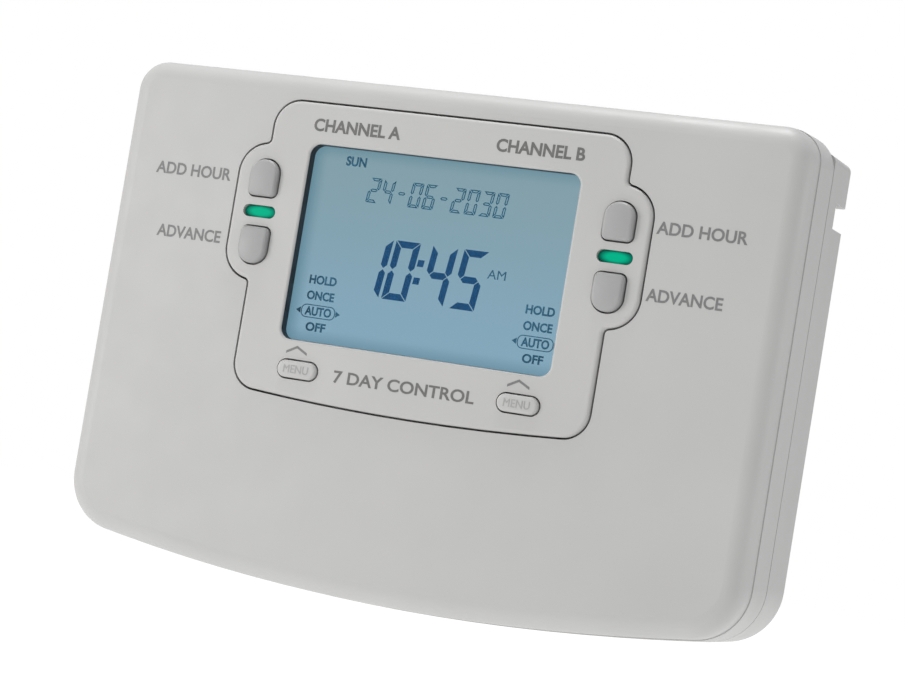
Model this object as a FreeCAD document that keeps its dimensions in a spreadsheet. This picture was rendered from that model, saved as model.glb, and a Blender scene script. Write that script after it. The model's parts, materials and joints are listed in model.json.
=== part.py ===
"""Wall-mounted two-channel heating and hot-water timer, as a parametric FreeCAD document.

Frame: +X to the right, +Z up, the wall is the plane Y = 0 and the front faces -Y.
A "depth" in this file is a distance from the wall, so a depth of 20 is the plane Y = -20.
All sizes are in millimetres.
"""

import FreeCAD, Part
import os
import Sketcher
from FreeCAD import Placement, Rotation, Vector

doc = FreeCAD.newDocument("HeatingTimer")

# ---------------------------------------------------------------- driving dimensions

SIZES = {
    # outer case
    "case_width": 140.0,
    "case_top": 49.3,
    "case_low": 49.7,
    "low_arc_radius": 400.0,
    "top_corner": 6.5,
    "low_corner": 11.0,
    "wall": 2.0,
    "parting_depth": 13.5,
    "parting_gap": 0.3,
    # front cover
    "step_depth": 22.0,
    "step_inset": 0.2,
    "face_depth": 29.3,
    "draft_angle": 1.8,
    "dome_radius": 2450.0,
    "edge_round": 3.8,
    "cover_inner_depth": 27.3,
    "cover_inner_round": 2.5,
    "panel_gap": 0.36,
    # hinge of the cover
    "hinge_depth": 15.2,
    "hinge_low": 46.8,
    "barrel_radius": 1.6,
    "lug_radius": 1.45,
    "barrel_bore": 0.88,
    "pin_radius": 0.8,
    "barrel_inner": 6.5,
    "barrel_outer": 18.0,
    "lug_gap": 0.35,
    "lug_outer": 24.0,
    "sweep_radius": 2.3,
    "trim_reach": 3.0,
    "slot_above": 2.5,
    "slot_behind": 2.0,
    "slot_ahead": 0.5,
    "slot_deep": 6.0,
    "relief_half": 45.0,
    "relief_behind": 0.25,
    "relief_foot": 53.0,
    # rear housing
    "housing_top": 46.4,
    "housing_corner": 1.5,
    "floor_back": 11.35,
    "bay_half_width": 53.0,
    "bay_top": -5.0,
    "bay_bottom": -37.0,
    "bay_back": 4.0,
    "bay_wall": 1.5,
    "notch_low": 33.4,
    "notch_high": 38.2,
    "notch_depth": 8.3,
    # control fascia
    "fascia_top": 45.0,
    "fascia_inset": 4.5,
    "fascia_corner": 5.0,
    "plate_front": 24.0,
    "plate_back": 22.2,
    "skirt": 1.6,
    # raised display panel
    "panel_depth": 29.8,
    "panel_half_width": 36.5,
    "panel_top": 43.3,
    "panel_low": 13.9,
    "panel_arc_radius": 430.0,
    "panel_top_corner": 5.3,
    "panel_low_corner": 5.0,
    "lobe_radius": 5.9,
    "lobe_high_centre": 28.5,
    "lobe_low_centre": 14.0,
    "neck_round": 1.2,
    "panel_edge_round": 0.7,
    "panel_back": 27.3,
    # display
    "window_width": 55.4,
    "window_high": 37.7,
    "window_centre": 16.55,
    "window_corner": 2.2,
    "window_edge_round": 0.5,
    "lens_width": 59.0,
    "lens_high": 41.3,
    "lens_thick": 1.0,
    "lens_corner": 1.5,
    "display_centre": 16.95,
    "glass_width": 60.0,
    "glass_high": 41.8,
    "glass_front": 26.2,
    "glass_thick": 0.85,
    "glass_gap": 0.1,
    "glass_clear": 0.2,
    "view_width": 56.5,
    "view_high": 38.0,
    "layer_gap": 0.1,
    "film_width": 59.6,
    "film_thick": 0.2,
    "guide_thick": 2.9,
    "holder_width": 62.0,
    "holder_wall": 0.8,
    "strip_length": 50.0,
    "strip_thick": 1.7,
    "strip_offset": 19.95,
    "strip_clear": 0.2,
    "lamp_pitch": 11.5,
    "lamp_width": 1.4,
    "lamp_high": 3.0,
    "lamp_thick": 1.6,
    # buttons
    "button_gap": 0.3,
    "button_travel": 0.6,
    "side_button_x": 36.4,
    "side_button_width": 5.9,
    "side_button_high": 7.1,
    "extra_centre": 27.65,
    "advance_centre": 14.55,
    "button_proud": 1.2,
    "button_crown": 18.0,
    "flange": 0.6,
    "flange_thick": 1.3,
    "stop_gap": 0.2,
    "mode_x": 22.7,
    "mode_z": -7.95,
    "mode_width": 8.2,
    "mode_high": 3.3,
    "mode_proud": 0.8,
    "light_x": 36.5,
    "light_z": 21.15,
    "light_width": 7.0,
    "light_high": 2.4,
    "light_recess": 0.7,
    "light_clear": 0.1,
    "pipe_stop": 1.2,
    "pipe_gap": 0.4,
    "emitter_width": 3.0,
    "emitter_high": 1.8,
    "emitter_tall": 2.2,
    "key_count": 6.0,
    "key_pitch": 17.0,
    "key_z": -23.0,
    "key_width": 10.0,
    "key_high": 5.4,
    "key_proud": 1.6,
    "key_corner": 1.0,
    "key_flange_thick": 0.8,
    "small_crown": 60.0,
    "cap_rim": 1.1,
    "stem_gap": 0.1,
    "arched_end": 2.8,
    "square_end": 1.1,
    # function slider
    "knob_z": -34.0,
    "knob_slot_width": 14.5,
    "knob_slot_high": 3.6,
    "knob_flange_width": 19.0,
    "knob_flange_high": 5.0,
    "knob_flange_thick": 0.7,
    "knob_grip_width": 3.2,
    "knob_grip_high": 3.0,
    "knob_grip_tall": 4.0,
    "knob_pin_width": 1.6,
    "knob_pin_high": 1.4,
    "knob_pin_tall": 1.4,
    # circuit board
    "board_front": 18.5,
    "board_back": 16.9,
    "board_half_width": 58.0,
    "board_top": 42.5,
    "board_bottom": -38.5,
    "switch_body": 5.8,
    "switch_tall": 2.5,
    "key_switch_tall": 1.6,
    "stem_radius": 1.4,
    "well_radius": 1.8,
    "well_depth": 1.3,
    "key_well_depth": 1.0,
    "slide_width": 14.0,
    "slide_high": 6.0,
    "slide_tall": 2.4,
    "slide_floor": 0.9,
    "track_width": 10.4,
    "track_high": 2.0,
    # components on the back of the board; tall is how far they stand off it
    "relay_width": 19.2,
    "relay_high": 15.6,
    "relay_tall": 10.4,
    "film_box_width": 17.6,
    "film_box_high": 7.6,
    "film_box_tall": 9.6,
    "can_radius": 4.6,
    "can_length": 13.0,
    "can_axis": 5.0,
    "disc_radius": 4.8,
    "disc_thick": 3.4,
    "disc_axis": 5.2,
    "resistor_radius": 1.9,
    "resistor_length": 11.0,
    "resistor_axis": 2.2,
    "cell_radius": 10.0,
    "cell_thick": 2.4,
    "cell_tall": 3.0,
    "cell_clear": 0.15,
    "cell_ring": 11.2,
    "cell_ring_tall": 3.2,
    "chip_side": 12.0,
    "chip_tall": 1.5,
    "legs_per_side": 8,
    "leg_pitch": 1.4,
    "leg_length": 1.2,
    "leg_side": 0.5,
    "crystal_width": 10.8,
    "crystal_high": 4.4,
    "crystal_tall": 3.0,
    # wall plate
    "plate_half_width": 57.0,
    "plate_top": 40.4,
    "plate_bottom": -41.0,
    "plate_thick": 2.5,
    "fixing_centres": 60.3,
    "fixing_slot_width": 4.6,
    "fixing_slot_length": 9.0,
    "aperture_width": 44.0,
    "aperture_low": 4.0,
    "aperture_high": 22.0,
    "aperture_corner": 2.0,
    "plate_corner": 3.0,
    "hook_x": 40.0,
    "hook_width": 6.0,
    "hook_thick": 1.8,
    "hook_depth": 8.6,
    "lip_high": 4.4,
    "lip_thick": 2.1,
    "rib_back": 4.2,
    "rib_width": 10.0,
    "rib_high": 2.5,
    "rib_thick": 2.0,
    "anchor_width": 9.0,
    "anchor_high": 3.5,
    "anchor_depth": 10.0,
    # terminals
    "way_count": 6.0,
    "way_pitch": 7.6,
    "block_low": 25.0,
    "block_high": 38.0,
    "block_front": 10.8,
    "block_margin": 1.0,
    "cage_z": 31.6,
    "cage_back": 3.8,
    "cage_width": 5.6,
    "cage_high": 9.8,
    "cage_thick": 6.0,
    "cage_clear": 0.1,
    "wire_depth": 6.4,
    "wire_radius": 1.5,
    "clamp_screw_z": 34.4,
    "clamp_screw_back": 8.1,
    "clamp_head_back": 9.8,
    "clamp_head_radius": 2.0,
    "clamp_head_tall": 1.0,
    "screw_slot_width": 0.6,
    "screw_slot_deep": 0.45,
    "blade_z": 29.0,
    "blade_width": 0.8,
    "blade_high": 4.0,
    "blade_back": 6.0,
    # fasteners
    "screw_radius": 1.25,
    "head_radius": 2.6,
    "screw_top_z": 38.0,
    "case_screw_low_z": -32.0,
    "board_screw_low_z": -33.5,
    "case_screw_x": 62.3,
    "case_screw_length": 9.0,
    "board_screw_x": 54.0,
    "board_screw_length": 4.6,
    "pan_head_tall": 1.5,
    "recess_length": 2.6,
    "recess_width": 0.6,
    "recess_deep": 0.8,
    "retainer_x": 47.0,
    "retainer_depth": 6.5,
    "retainer_seat": 44.0,
    "retainer_length": 6.0,
    "retainer_head_tall": 1.6,
    "retainer_slot_deep": 0.8,
    "board_post_radius": 2.6,
    "case_post_radius": 2.3,
    "boss_wall": 1.3,
    "boss_top": 42.2,
    "boss_length": 3.0,
    # pieces of one solid run this far into each other, and cutting tools run this far past;
    # a cut from behind a front plate reaches this far
    "lap": 0.1,
    "past": 1.0,
    "through": 5.0,
}


sheet = doc.addObject("Spreadsheet::Sheet", "Sizes")
for row, (alias, number) in enumerate(SIZES.items(), start=1):
    sheet.set(f"A{row}", alias)
    sheet.set(f"B{row}", str(number))
    sheet.setAlias(f"B{row}", alias)
doc.recompute()


def of_sheet(expression):
    """Turns a bare expression in aliases into one that names the sheet."""
    words = []
    word = ""
    for letter in expression + " ":
        if letter.isalnum() or letter == "_":
            word += letter
            continue
        words.append(f"Sizes.{word}" if word in SIZES else word)
        words.append(letter)
        word = ""
    return "".join(words).strip()


def value(expression):
    """The number that an expression gives now."""
    return float(sheet.evalExpression(of_sheet(str(expression))))


def bind(thing, prop, expression):
    thing.setExpression(prop, of_sheet(str(expression)))


# ---------------------------------------------------------------- sketch and feature helpers


def new_body(label):
    body = doc.addObject("PartDesign::Body", label)
    body.Label = label
    return body


def new_sketch(body, role, offset="0"):
    """A sketch on one of the body's origin planes, moved along that plane's normal."""
    plane = next(f for f in body.Origin.OriginFeatures if f.Role == role)
    sketch = body.newObject("Sketcher::SketchObject", f"{body.Label}_sketch")
    sketch.AttachmentSupport = [(plane, "")]
    sketch.MapMode = "FlatFace"
    bind(sketch, "AttachmentOffset.Base.z", offset)
    return sketch


def pin_point(sketch, geometry, end, across, up):
    """Fixes one end of a sketch curve at the two expressions."""
    for kind, expression in (("DistanceX", across), ("DistanceY", up)):
        index = sketch.addConstraint(
            Sketcher.Constraint(kind, -1, 1, geometry, end, value(expression))
        )
        sketch.setExpression(f"Constraints[{index}]", of_sheet(str(expression)))


def set_radius(sketch, geometry, expression):
    index = sketch.addConstraint(Sketcher.Constraint("Radius", geometry, value(expression)))
    sketch.setExpression(f"Constraints[{index}]", of_sheet(str(expression)))


def bulge_point(start, end, radius, side):
    """The middle of the short arc of that radius; side is +1 to bulge right of start-to-end."""
    chord = end - start
    middle = (start + end) * 0.5
    rise = radius - max(radius**2 - chord.Length**2 / 4, 0.0) ** 0.5
    right = Vector(chord.y, -chord.x, 0).normalize()
    return middle + right * rise * side


def outline(sketch, corners):
    """A closed outline. Each corner is (across, up) or (across, up, arc radius, side).

    The radius and side describe the arc that leaves that corner for the next one.
    """
    points = [Vector(value(c[0]), value(c[1]), 0) for c in corners]
    count = len(corners)
    base = sketch.GeometryCount
    ends = []
    for i, corner in enumerate(corners):
        start, end = points[i], points[(i + 1) % count]
        if len(corner) == 2:
            sketch.addGeometry(Part.LineSegment(start, end), False)
            ends.append((1, 2))
            continue
        middle = bulge_point(start, end, value(corner[2]), corner[3])
        sketch.addGeometry(Part.Arc(start, middle, end), False)
        swapped = sketch.Geometry[-1].StartPoint.distanceToPoint(start) > 1e-6
        ends.append((2, 1) if swapped else (1, 2))
    for i, corner in enumerate(corners):
        after = (i + 1) % count
        joint = (base + i, ends[i][1], base + after, ends[after][0])
        sketch.addConstraint(Sketcher.Constraint("Coincident", *joint))
        pin_point(sketch, base + i, ends[i][0], corner[0], corner[1])
        if len(corner) == 4:
            set_radius(sketch, base + i, corner[2])


def rounded(sketch, across, up, width, high, top_round, low_round=None):
    """A rectangle with arcs for corners; the lower ones may have their own radius."""
    low_round = low_round or top_round
    left, right = f"(({across}) - ({width}) / 2)", f"(({across}) + ({width}) / 2)"
    low, top = f"(({up}) - ({high}) / 2)", f"(({up}) + ({high}) / 2)"
    big, small = f"({top_round})", f"({low_round})"
    outline(
        sketch,
        [
            (left, f"{top} - {big}"),
            (left, f"{low} + {small}", small, 1),
            (f"{left} + {small}", low),
            (f"{right} - {small}", low, small, 1),
            (right, f"{low} + {small}"),
            (right, f"{top} - {big}", big, 1),
            (f"{right} - {big}", top),
            (f"{left} + {big}", top, big, 1),
        ],
    )


def rectangle(sketch, across, up, width, high):
    left, right = f"({across}) - ({width}) / 2", f"({across}) + ({width}) / 2"
    low, top = f"({up}) - ({high}) / 2", f"({up}) + ({high}) / 2"
    base = sketch.GeometryCount
    corners = [(left, low), (right, low), (right, top), (left, top)]
    points = [Vector(value(a), value(u), 0) for a, u in corners]
    for i in range(4):
        sketch.addGeometry(Part.LineSegment(points[i], points[(i + 1) % 4]), False)
    for i in range(4):
        after = base + (i + 1) % 4
        sketch.addConstraint(Sketcher.Constraint("Coincident", base + i, 2, after, 1))
        pin_point(sketch, base + i, 1, *corners[i])


def circle(sketch, across, up, radius):
    centre = Vector(value(across), value(up), 0)
    index = sketch.addGeometry(Part.Circle(centre, Vector(0, 0, 1), value(radius)), False)
    pin_point(sketch, index, 3, across, up)
    set_radius(sketch, index, radius)


def pad(body, sketch, length, backwards=False, taper="0"):
    """taper is the draft in degrees by which the sides lean inwards."""
    feature = body.newObject("PartDesign::Pad", f"{body.Label}_pad")
    feature.Profile = sketch
    bind(feature, "Length", length)
    bind(feature, "TaperAngle", f"-{taper}")
    feature.Reversed = backwards
    return settle(body, feature, grows=True)


def pocket(body, sketch, length=None, forwards=True):
    """Cuts towards the front by default, because most sketches lie behind what they cut."""
    feature = body.newObject("PartDesign::Pocket", f"{body.Label}_pocket")
    feature.Profile = sketch
    if length is None:
        feature.Type = "ThroughAll"
        feature.Midplane = True
    else:
        bind(feature, "Length", length)
        feature.Reversed = forwards
    return settle(body, feature, grows=False)


def settle(body, feature, grows):
    """Recomputes, and stops if a feature changed nothing or changed the wrong way."""
    before = feature.BaseFeature.Shape.Volume if feature.BaseFeature else 0.0
    body.Tip = feature
    doc.recompute()
    change = feature.Shape.Volume - before
    if (change <= 0) if grows else (change >= 0):
        raise RuntimeError(f"{feature.Label} changed the volume by {change:.3f}")
    return feature


def round_edges(body, wanted, radius, kind="PartDesign::Fillet"):
    """Fillets or chamfers the edges of the tip that wanted(edge) picks."""
    base = body.Tip
    names = [f"Edge{i}" for i, edge in enumerate(base.Shape.Edges, start=1) if wanted(edge)]
    if not names:
        raise RuntimeError(f"no edge of {body.Label} matches")
    feature = body.newObject(kind, f"{body.Label}_edge")
    feature.Base = (base, names)
    bind(feature, "Radius" if kind.endswith("Fillet") else "Size", radius)
    body.Tip = feature
    doc.recompute()
    return feature


def upright_at(points, low=None, high=None):
    """Picks edges along Y that pass near any (x, z) point, between two depths."""

    def wanted(edge):
        box = edge.BoundBox
        if box.YLength < 0.2 or box.XLength > 0.05 or box.ZLength > 0.05:
            return False
        middle = box.Center
        if low is not None and not low <= -middle.y <= high:
            return False
        return any(abs(middle.x - x) < 0.15 and abs(middle.z - z) < 0.15 for x, z in points)

    return wanted


def flat_at(depth, inside=None):
    """Picks edges that lie in the plane of that depth; inside limits them to (x, z) boxes."""

    def wanted(edge):
        box = edge.BoundBox
        if abs(box.YMin + depth) > 0.02 or abs(box.YMax + depth) > 0.02:
            return False
        if inside is None:
            return True
        x0, x1, z0, z1 = inside
        return x0 <= box.XMin and box.XMax <= x1 and z0 <= box.ZMin and box.ZMax <= z1

    return wanted


def both_sides(x, z):
    return [(-x, z), (x, z)]


# ---------------------------------------------------------------- primitive helpers


def block(name, x, z, depth, width, high, thick):
    """A box centred on (x, z) whose back is at depth and which comes forward by thick."""
    box = doc.addObject("Part::Box", name)
    bind(box, "Length", width)
    bind(box, "Width", thick)
    bind(box, "Height", high)
    bind(box, "Placement.Base.x", f"({x}) - ({width}) / 2")
    bind(box, "Placement.Base.y", f"-(({depth}) + ({thick}))")
    bind(box, "Placement.Base.z", f"({z}) - ({high}) / 2")
    return box


def rod(name, x, z, depth, radius, length):
    """A cylinder along Y whose back is at depth."""
    cylinder = doc.addObject("Part::Cylinder", name)
    cylinder.Placement = Placement(Vector(0, 0, 0), Rotation(Vector(1, 0, 0), 90))
    bind(cylinder, "Radius", radius)
    bind(cylinder, "Height", length)
    bind(cylinder, "Placement.Base.x", x)
    bind(cylinder, "Placement.Base.y", f"-({depth})")
    bind(cylinder, "Placement.Base.z", z)
    return cylinder


def bar(name, axis, start, radius, length):
    """A cylinder along X or Z; start is (x, depth, z)."""
    cylinder = doc.addObject("Part::Cylinder", name)
    turn = Rotation(Vector(0, 1, 0), 90) if axis == "X" else Rotation()
    cylinder.Placement = Placement(Vector(0, 0, 0), turn)
    bind(cylinder, "Radius", radius)
    bind(cylinder, "Height", length)
    bind(cylinder, "Placement.Base.x", start[0])
    bind(cylinder, "Placement.Base.y", f"-({start[1]})")
    bind(cylinder, "Placement.Base.z", start[2])
    return cylinder


def cut(name, base, *tools):
    tool = tools[0] if len(tools) == 1 else fuse(f"{name}_tools", *tools)
    result = doc.addObject("Part::Cut", name)
    result.Base, result.Tool = base, tool
    result.Label = name
    doc.recompute()
    return result


def fuse(name, *pieces):
    result = doc.addObject("Part::MultiFuse", name)
    result.Shapes = list(pieces)
    result.Label = name
    doc.recompute()
    return result


def group(name, *pieces):
    """Separate solids that share one name."""
    result = doc.addObject("Part::Compound", name)
    result.Links = list(pieces)
    result.Label = name
    return result


def blunt(name, base, radius, wanted, kind="Part::Chamfer"):
    """Chamfers or fillets the edges of a primitive that wanted(edge) picks."""
    doc.recompute()
    size = value(radius)
    result = doc.addObject(kind, name)
    result.Base = base
    result.Edges = [(i, size, size) for i, e in enumerate(base.Shape.Edges, start=1) if wanted(e)]
    result.Label = name
    doc.recompute()
    return result


def along(axis):
    """Picks straight edges along X, Y or Z."""

    def wanted(edge):
        box = edge.BoundBox
        lengths = {"X": box.XLength, "Y": box.YLength, "Z": box.ZLength}
        return lengths[axis] > 0.1 and sum(lengths.values()) - lengths[axis] < 0.01

    return wanted


# ---------------------------------------------------------------- shared outlines


def case_outline(sketch, inset, top, top_round, low_round):
    """Straight top and sides, a bowed lower edge and round corners, all moved in by inset."""
    half = f"(case_width / 2 - ({inset}))"
    radius = f"(low_arc_radius - ({inset}))"
    crown = "(low_arc_radius - case_low)"
    side_low = f"({crown} - sqrt(({radius} - {low_round}) ^ 2 - ({half} - {low_round}) ^ 2))"
    stretch = f"({radius} / ({radius} - {low_round}))"
    foot = f"(({half} - {low_round}) * {stretch})"
    foot_low = f"({crown} + ({side_low} - {crown}) * {stretch})"
    side_top = f"(({top}) - {top_round})"
    head = f"({half} - {top_round})"
    outline(
        sketch,
        [
            (f"-{half}", side_top),
            (f"-{half}", side_low, low_round, 1),
            (f"-{foot}", foot_low, radius, 1),
            (foot, foot_low, low_round, 1),
            (half, side_low),
            (half, side_top, top_round, 1),
            (head, f"({top})"),
            (f"-{head}", f"({top})", top_round, 1),
        ],
    )


def panel_outline(sketch, grow):
    """The display panel: a rounded frame with a lobe for the buttons on each side."""
    half = f"(panel_half_width + ({grow}))"
    lobe = f"(lobe_radius + ({grow}))"
    outer = f"(panel_half_width + {lobe})"
    high = f"(panel_top + ({grow}))"
    radius = f"(panel_arc_radius + ({grow}))"
    low = f"(panel_arc_radius - panel_low - sqrt({radius} ^ 2 - {half} ^ 2))"
    shoulder = f"sqrt({lobe} ^ 2 - ({grow}) ^ 2)"
    neck = f"(lobe_high_centre + {shoulder})"
    waist = f"(lobe_low_centre - {shoulder})"
    outline(
        sketch,
        [
            (f"-{half}", high),
            (f"-{half}", neck, lobe, 1),
            (f"-{outer}", "lobe_high_centre"),
            (f"-{outer}", "lobe_low_centre", lobe, 1),
            (f"-{half}", waist),
            (f"-{half}", low, radius, 1),
            (half, low),
            (half, waist, lobe, 1),
            (outer, "lobe_low_centre"),
            (outer, "lobe_high_centre", lobe, 1),
            (half, neck),
            (half, high),
        ],
    )
    return {
        "half": value(half),
        "high": value(high),
        "low": value(low),
        "neck": value(neck),
        "waist": value(waist),
    }


def round_panel_corners(body, places, grow, low, high, necks_too=True):
    """Rounds the panel's corners and its four necks between depths low and high."""
    half = places["half"]
    top = upright_at(both_sides(half, places["high"]), low, high)
    round_edges(body, top, f"panel_top_corner + ({grow})")
    foot = upright_at(both_sides(half, places["low"]), low, high)
    round_edges(body, foot, f"panel_low_corner + ({grow})")
    if necks_too:
        necks = both_sides(half, places["neck"]) + both_sides(half, places["waist"])
        round_edges(body, upright_at(necks, low, high), f"neck_round - ({grow})")


def dome(body, depth):
    """Trims everything in front of a very shallow cylinder whose crest is at depth."""
    reach = "(case_width / 2 + 10)"
    edge = f"(-({depth}) + dome_radius - sqrt(dome_radius ^ 2 - {reach} ^ 2))"
    front = f"(-({depth}) - 10)"
    sketch = new_sketch(body, "XY_Plane")
    outline(
        sketch,
        [(f"-{reach}", edge, "dome_radius", 1), (reach, edge), (reach, front), (f"-{reach}", front)],
    )
    pocket(body, sketch)


# ---------------------------------------------------------------- front cover

COVER_REAR = "(parting_depth + parting_gap / 2)"
HOUSING_FRONT = "(parting_depth - parting_gap / 2)"
HINGE_Y = "(-hinge_depth)"
HINGE_Z = "(-hinge_low)"


def front_of(depth):
    """Picks the rim edges that lie wholly in front of that depth."""

    def wanted(edge):
        return edge.BoundBox.YMax < -depth

    return wanted


def make_front_cover():
    body = new_body("front_cover")
    skirt = new_sketch(body, "XZ_Plane", COVER_REAR)
    case_outline(skirt, "0", "case_top", "top_corner", "low_corner")
    pad(body, skirt, f"step_depth - {COVER_REAR}", taper="draft_angle")
    face = new_sketch(body, "XZ_Plane", "step_depth")
    inset = f"(step_inset + (step_depth - {COVER_REAR}) * tan(draft_angle))"
    corners = (f"(top_corner - {inset})", f"(low_corner - {inset})")
    case_outline(face, inset, f"case_top - {inset}", *corners)
    pad(body, face, "face_depth + past - step_depth", taper="draft_angle")
    dome(body, "face_depth")
    round_edges(body, front_of(value("face_depth") - 1.2), "edge_round")

    hollow = new_sketch(body, "XZ_Plane", COVER_REAR)
    case_outline(hollow, "wall", "case_top - wall", "(top_corner - wall)", "(low_corner - wall)")
    pocket(body, hollow, f"cover_inner_depth - {COVER_REAR}")
    round_edges(body, flat_at(value("cover_inner_depth")), "cover_inner_round")

    opening = new_sketch(body, "XZ_Plane", "cover_inner_depth - past")
    places = panel_outline(opening, "panel_gap")
    pocket(body, opening, "through")
    inside = value("cover_inner_depth")
    round_panel_corners(body, places, "panel_gap", inside, inside + value("through"))

    add_barrels(body)
    return body


def add_barrels(body):
    """Two hinge barrels on the lower edge, with room round the housing's lugs."""
    trim = new_sketch(body, "YZ_Plane")
    far = "(sweep_radius + trim_reach)"
    outline(
        trim,
        [
            (f"{HINGE_Y} + sweep_radius", HINGE_Z),
            (f"{HINGE_Y} + {far}", HINGE_Z),
            (f"{HINGE_Y} + {far}", f"{HINGE_Z} - {far}"),
            (HINGE_Y, f"{HINGE_Z} - {far}"),
            (HINGE_Y, f"{HINGE_Z} - sweep_radius", "sweep_radius", 1),
        ],
    )
    pocket(body, trim)

    slots = new_sketch(body, "XY_Plane", f"{HINGE_Z} + slot_above")
    rear = "(slot_behind - parting_depth)"
    front = "(-hinge_depth - barrel_radius - slot_ahead)"
    across = [("0", "2 * barrel_inner")]
    ear = "(lug_outer + lug_gap)"
    for side in ("-", ""):
        across.append((f"{side}(barrel_outer + {ear}) / 2", f"{ear} - barrel_outer"))
    for middle, width in across:
        rectangle(slots, middle, f"({rear} + {front}) / 2", width, f"{rear} - {front}")
    pocket(body, slots, "slot_deep", forwards=False)

    for start in ("barrel_inner", "-barrel_outer"):
        barrel = new_sketch(body, "YZ_Plane", start)
        circle(barrel, HINGE_Y, HINGE_Z, "barrel_radius")
        pad(body, barrel, "barrel_outer - barrel_inner")
    bore = new_sketch(body, "YZ_Plane", "-barrel_outer - lap")
    circle(bore, HINGE_Y, HINGE_Z, "barrel_bore")
    pocket(body, bore, "2 * barrel_outer + 2 * lap")


# ---------------------------------------------------------------- rear housing


def make_rear_housing():
    body = new_body("rear_housing")
    shell = new_sketch(body, "XZ_Plane")
    case_outline(shell, "0", "housing_top", "housing_corner", "low_corner")
    pad(body, shell, HOUSING_FRONT)

    hollow = new_sketch(body, "XZ_Plane")
    case_outline(hollow, "wall", "housing_top - wall", "(wall / 2)", "(low_corner - wall)")
    pocket(body, hollow, "floor_back")

    top = value("housing_top")
    round_edges(
        body,
        lambda e: flat_at(0)(e) and e.BoundBox.XLength > 100 and abs(e.BoundBox.ZMax - top) < 0.01,
        "housing_corner",
    )
    add_relay_bay(body)
    add_housing_openings(body)
    add_housing_hooks(body)
    add_retainer_bosses(body)
    add_lugs(body)
    return body


def add_relay_bay(body):
    """A box that reaches back from the floor, open to the front, for the tall components."""
    middle = "(bay_top + bay_bottom) / 2"
    high = "(bay_top - bay_bottom)"
    box = new_sketch(body, "XZ_Plane", "bay_back")
    rectangle(box, "0", middle, "2 * bay_half_width", high)
    pad(body, box, "floor_back - bay_back")
    inside = new_sketch(body, "XZ_Plane", HOUSING_FRONT)
    inner_width = "2 * (bay_half_width - bay_wall)"
    rectangle(inside, "0", middle, inner_width, f"{high} - 2 * bay_wall")
    pocket(body, inside, f"{HOUSING_FRONT} - bay_back - bay_wall", forwards=False)


CASE_ROWS = ("screw_top_z", "case_screw_low_z")
CASE_SCREWS = [(side + "case_screw_x", z) for side in ("-", "") for z in CASE_ROWS]
BOARD_ROWS = ("screw_top_z", "board_screw_low_z")
BOARD_SCREWS = [(side + "board_screw_x", z) for side in ("-", "") for z in BOARD_ROWS]
WAYS = range(int(SIZES["way_count"]))


def add_housing_openings(body):
    window = new_sketch(body, "XZ_Plane", "floor_back - past")
    rectangle(window, "0", "blade_z", "way_count * way_pitch + past", "blade_high + 2 * past")
    for x, z in CASE_SCREWS:
        circle(window, x, z, "screw_radius + 0.2")
    pocket(body, window, f"{HOUSING_FRONT} - floor_back + 2 * past")
    notch = new_sketch(body, "XZ_Plane")
    for side in ("-", ""):
        middle = "(notch_low + notch_high) / 2"
        rectangle(notch, f"{side}case_width / 2", middle, "3 * wall", "notch_high - notch_low")
    pocket(body, notch, "notch_depth")


def add_housing_hooks(body):
    """Two ribs under the top wall that hang on the wall plate's hooks."""
    ribs = new_sketch(body, "XZ_Plane", "rib_back")
    middle = "housing_top - wall + lap - rib_high / 2"
    for side in ("-", ""):
        rectangle(ribs, side + "hook_x", middle, "rib_width", "rib_high")
    pad(body, ribs, "rib_thick")


def add_retainer_bosses(body):
    """Bosses in the lower wall for the two screws that lock the timer to its wall plate."""
    centres = [(side + "retainer_x", "(-retainer_depth)") for side in ("-", "")]
    boss = new_sketch(body, "XY_Plane", "-boss_top")
    for centre in centres:
        circle(boss, *centre, "head_radius + boss_wall")
    pad(body, boss, "boss_length", backwards=True)
    hole = new_sketch(body, "XY_Plane", "-boss_top + past")
    for centre in centres:
        circle(hole, *centre, "screw_radius + 0.3")
    pocket(body, hole, "2 * boss_length + past", forwards=False)
    recess = new_sketch(body, "XY_Plane", "-retainer_seat")
    for centre in centres:
        circle(recess, *centre, "head_radius + 0.2")
    pocket(body, recess, "2 * boss_length", forwards=False)


def add_lugs(body):
    """Clears the lower edge for the swinging cover, then adds three lugs for the hinge pin."""
    swept = "(case_low - hinge_low + relief_behind)"
    relief = new_sketch(body, "XZ_Plane", f"hinge_depth - {swept}")
    high = f"{HINGE_Z} + sweep_radius - lap"
    middle, tall = f"({high} - relief_foot) / 2", f"{high} + relief_foot"
    rectangle(relief, "0", middle, "2 * relief_half", tall)
    pocket(body, relief, "through")
    spans = [
        ("-(barrel_inner - lug_gap)", "2 * (barrel_inner - lug_gap)"),
        ("barrel_outer + lug_gap", "lug_outer - barrel_outer - lug_gap"),
        ("-lug_outer", "lug_outer - barrel_outer - lug_gap"),
    ]
    reach = "(hinge_depth - floor_back)"
    for start, length in spans:
        web = new_sketch(body, "YZ_Plane", start)
        rectangle(web, f"{HINGE_Y} + {reach} / 2", HINGE_Z, reach, "2 * lug_radius")
        pad(body, web, length)
        nose = new_sketch(body, "YZ_Plane", start)
        circle(nose, HINGE_Y, HINGE_Z, "lug_radius")
        pad(body, nose, length)
    bore = new_sketch(body, "YZ_Plane", "-lug_outer - lap")
    circle(bore, HINGE_Y, HINGE_Z, "pin_radius")
    pocket(body, bore, "2 * lug_outer + 2 * lap")


# ---------------------------------------------------------------- control fascia

SIDE_BUTTONS = {
    "extra_hour_button_left": ("-", "extra_centre", 1),
    "extra_hour_button_right": ("", "extra_centre", 1),
    "advance_button_left": ("-", "advance_centre", -1),
    "advance_button_right": ("", "advance_centre", -1),
}
KEYS = range(int(SIZES["key_count"]))


def key_x(index):
    return f"(({index} - (key_count - 1) / 2) * key_pitch)"


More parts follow.
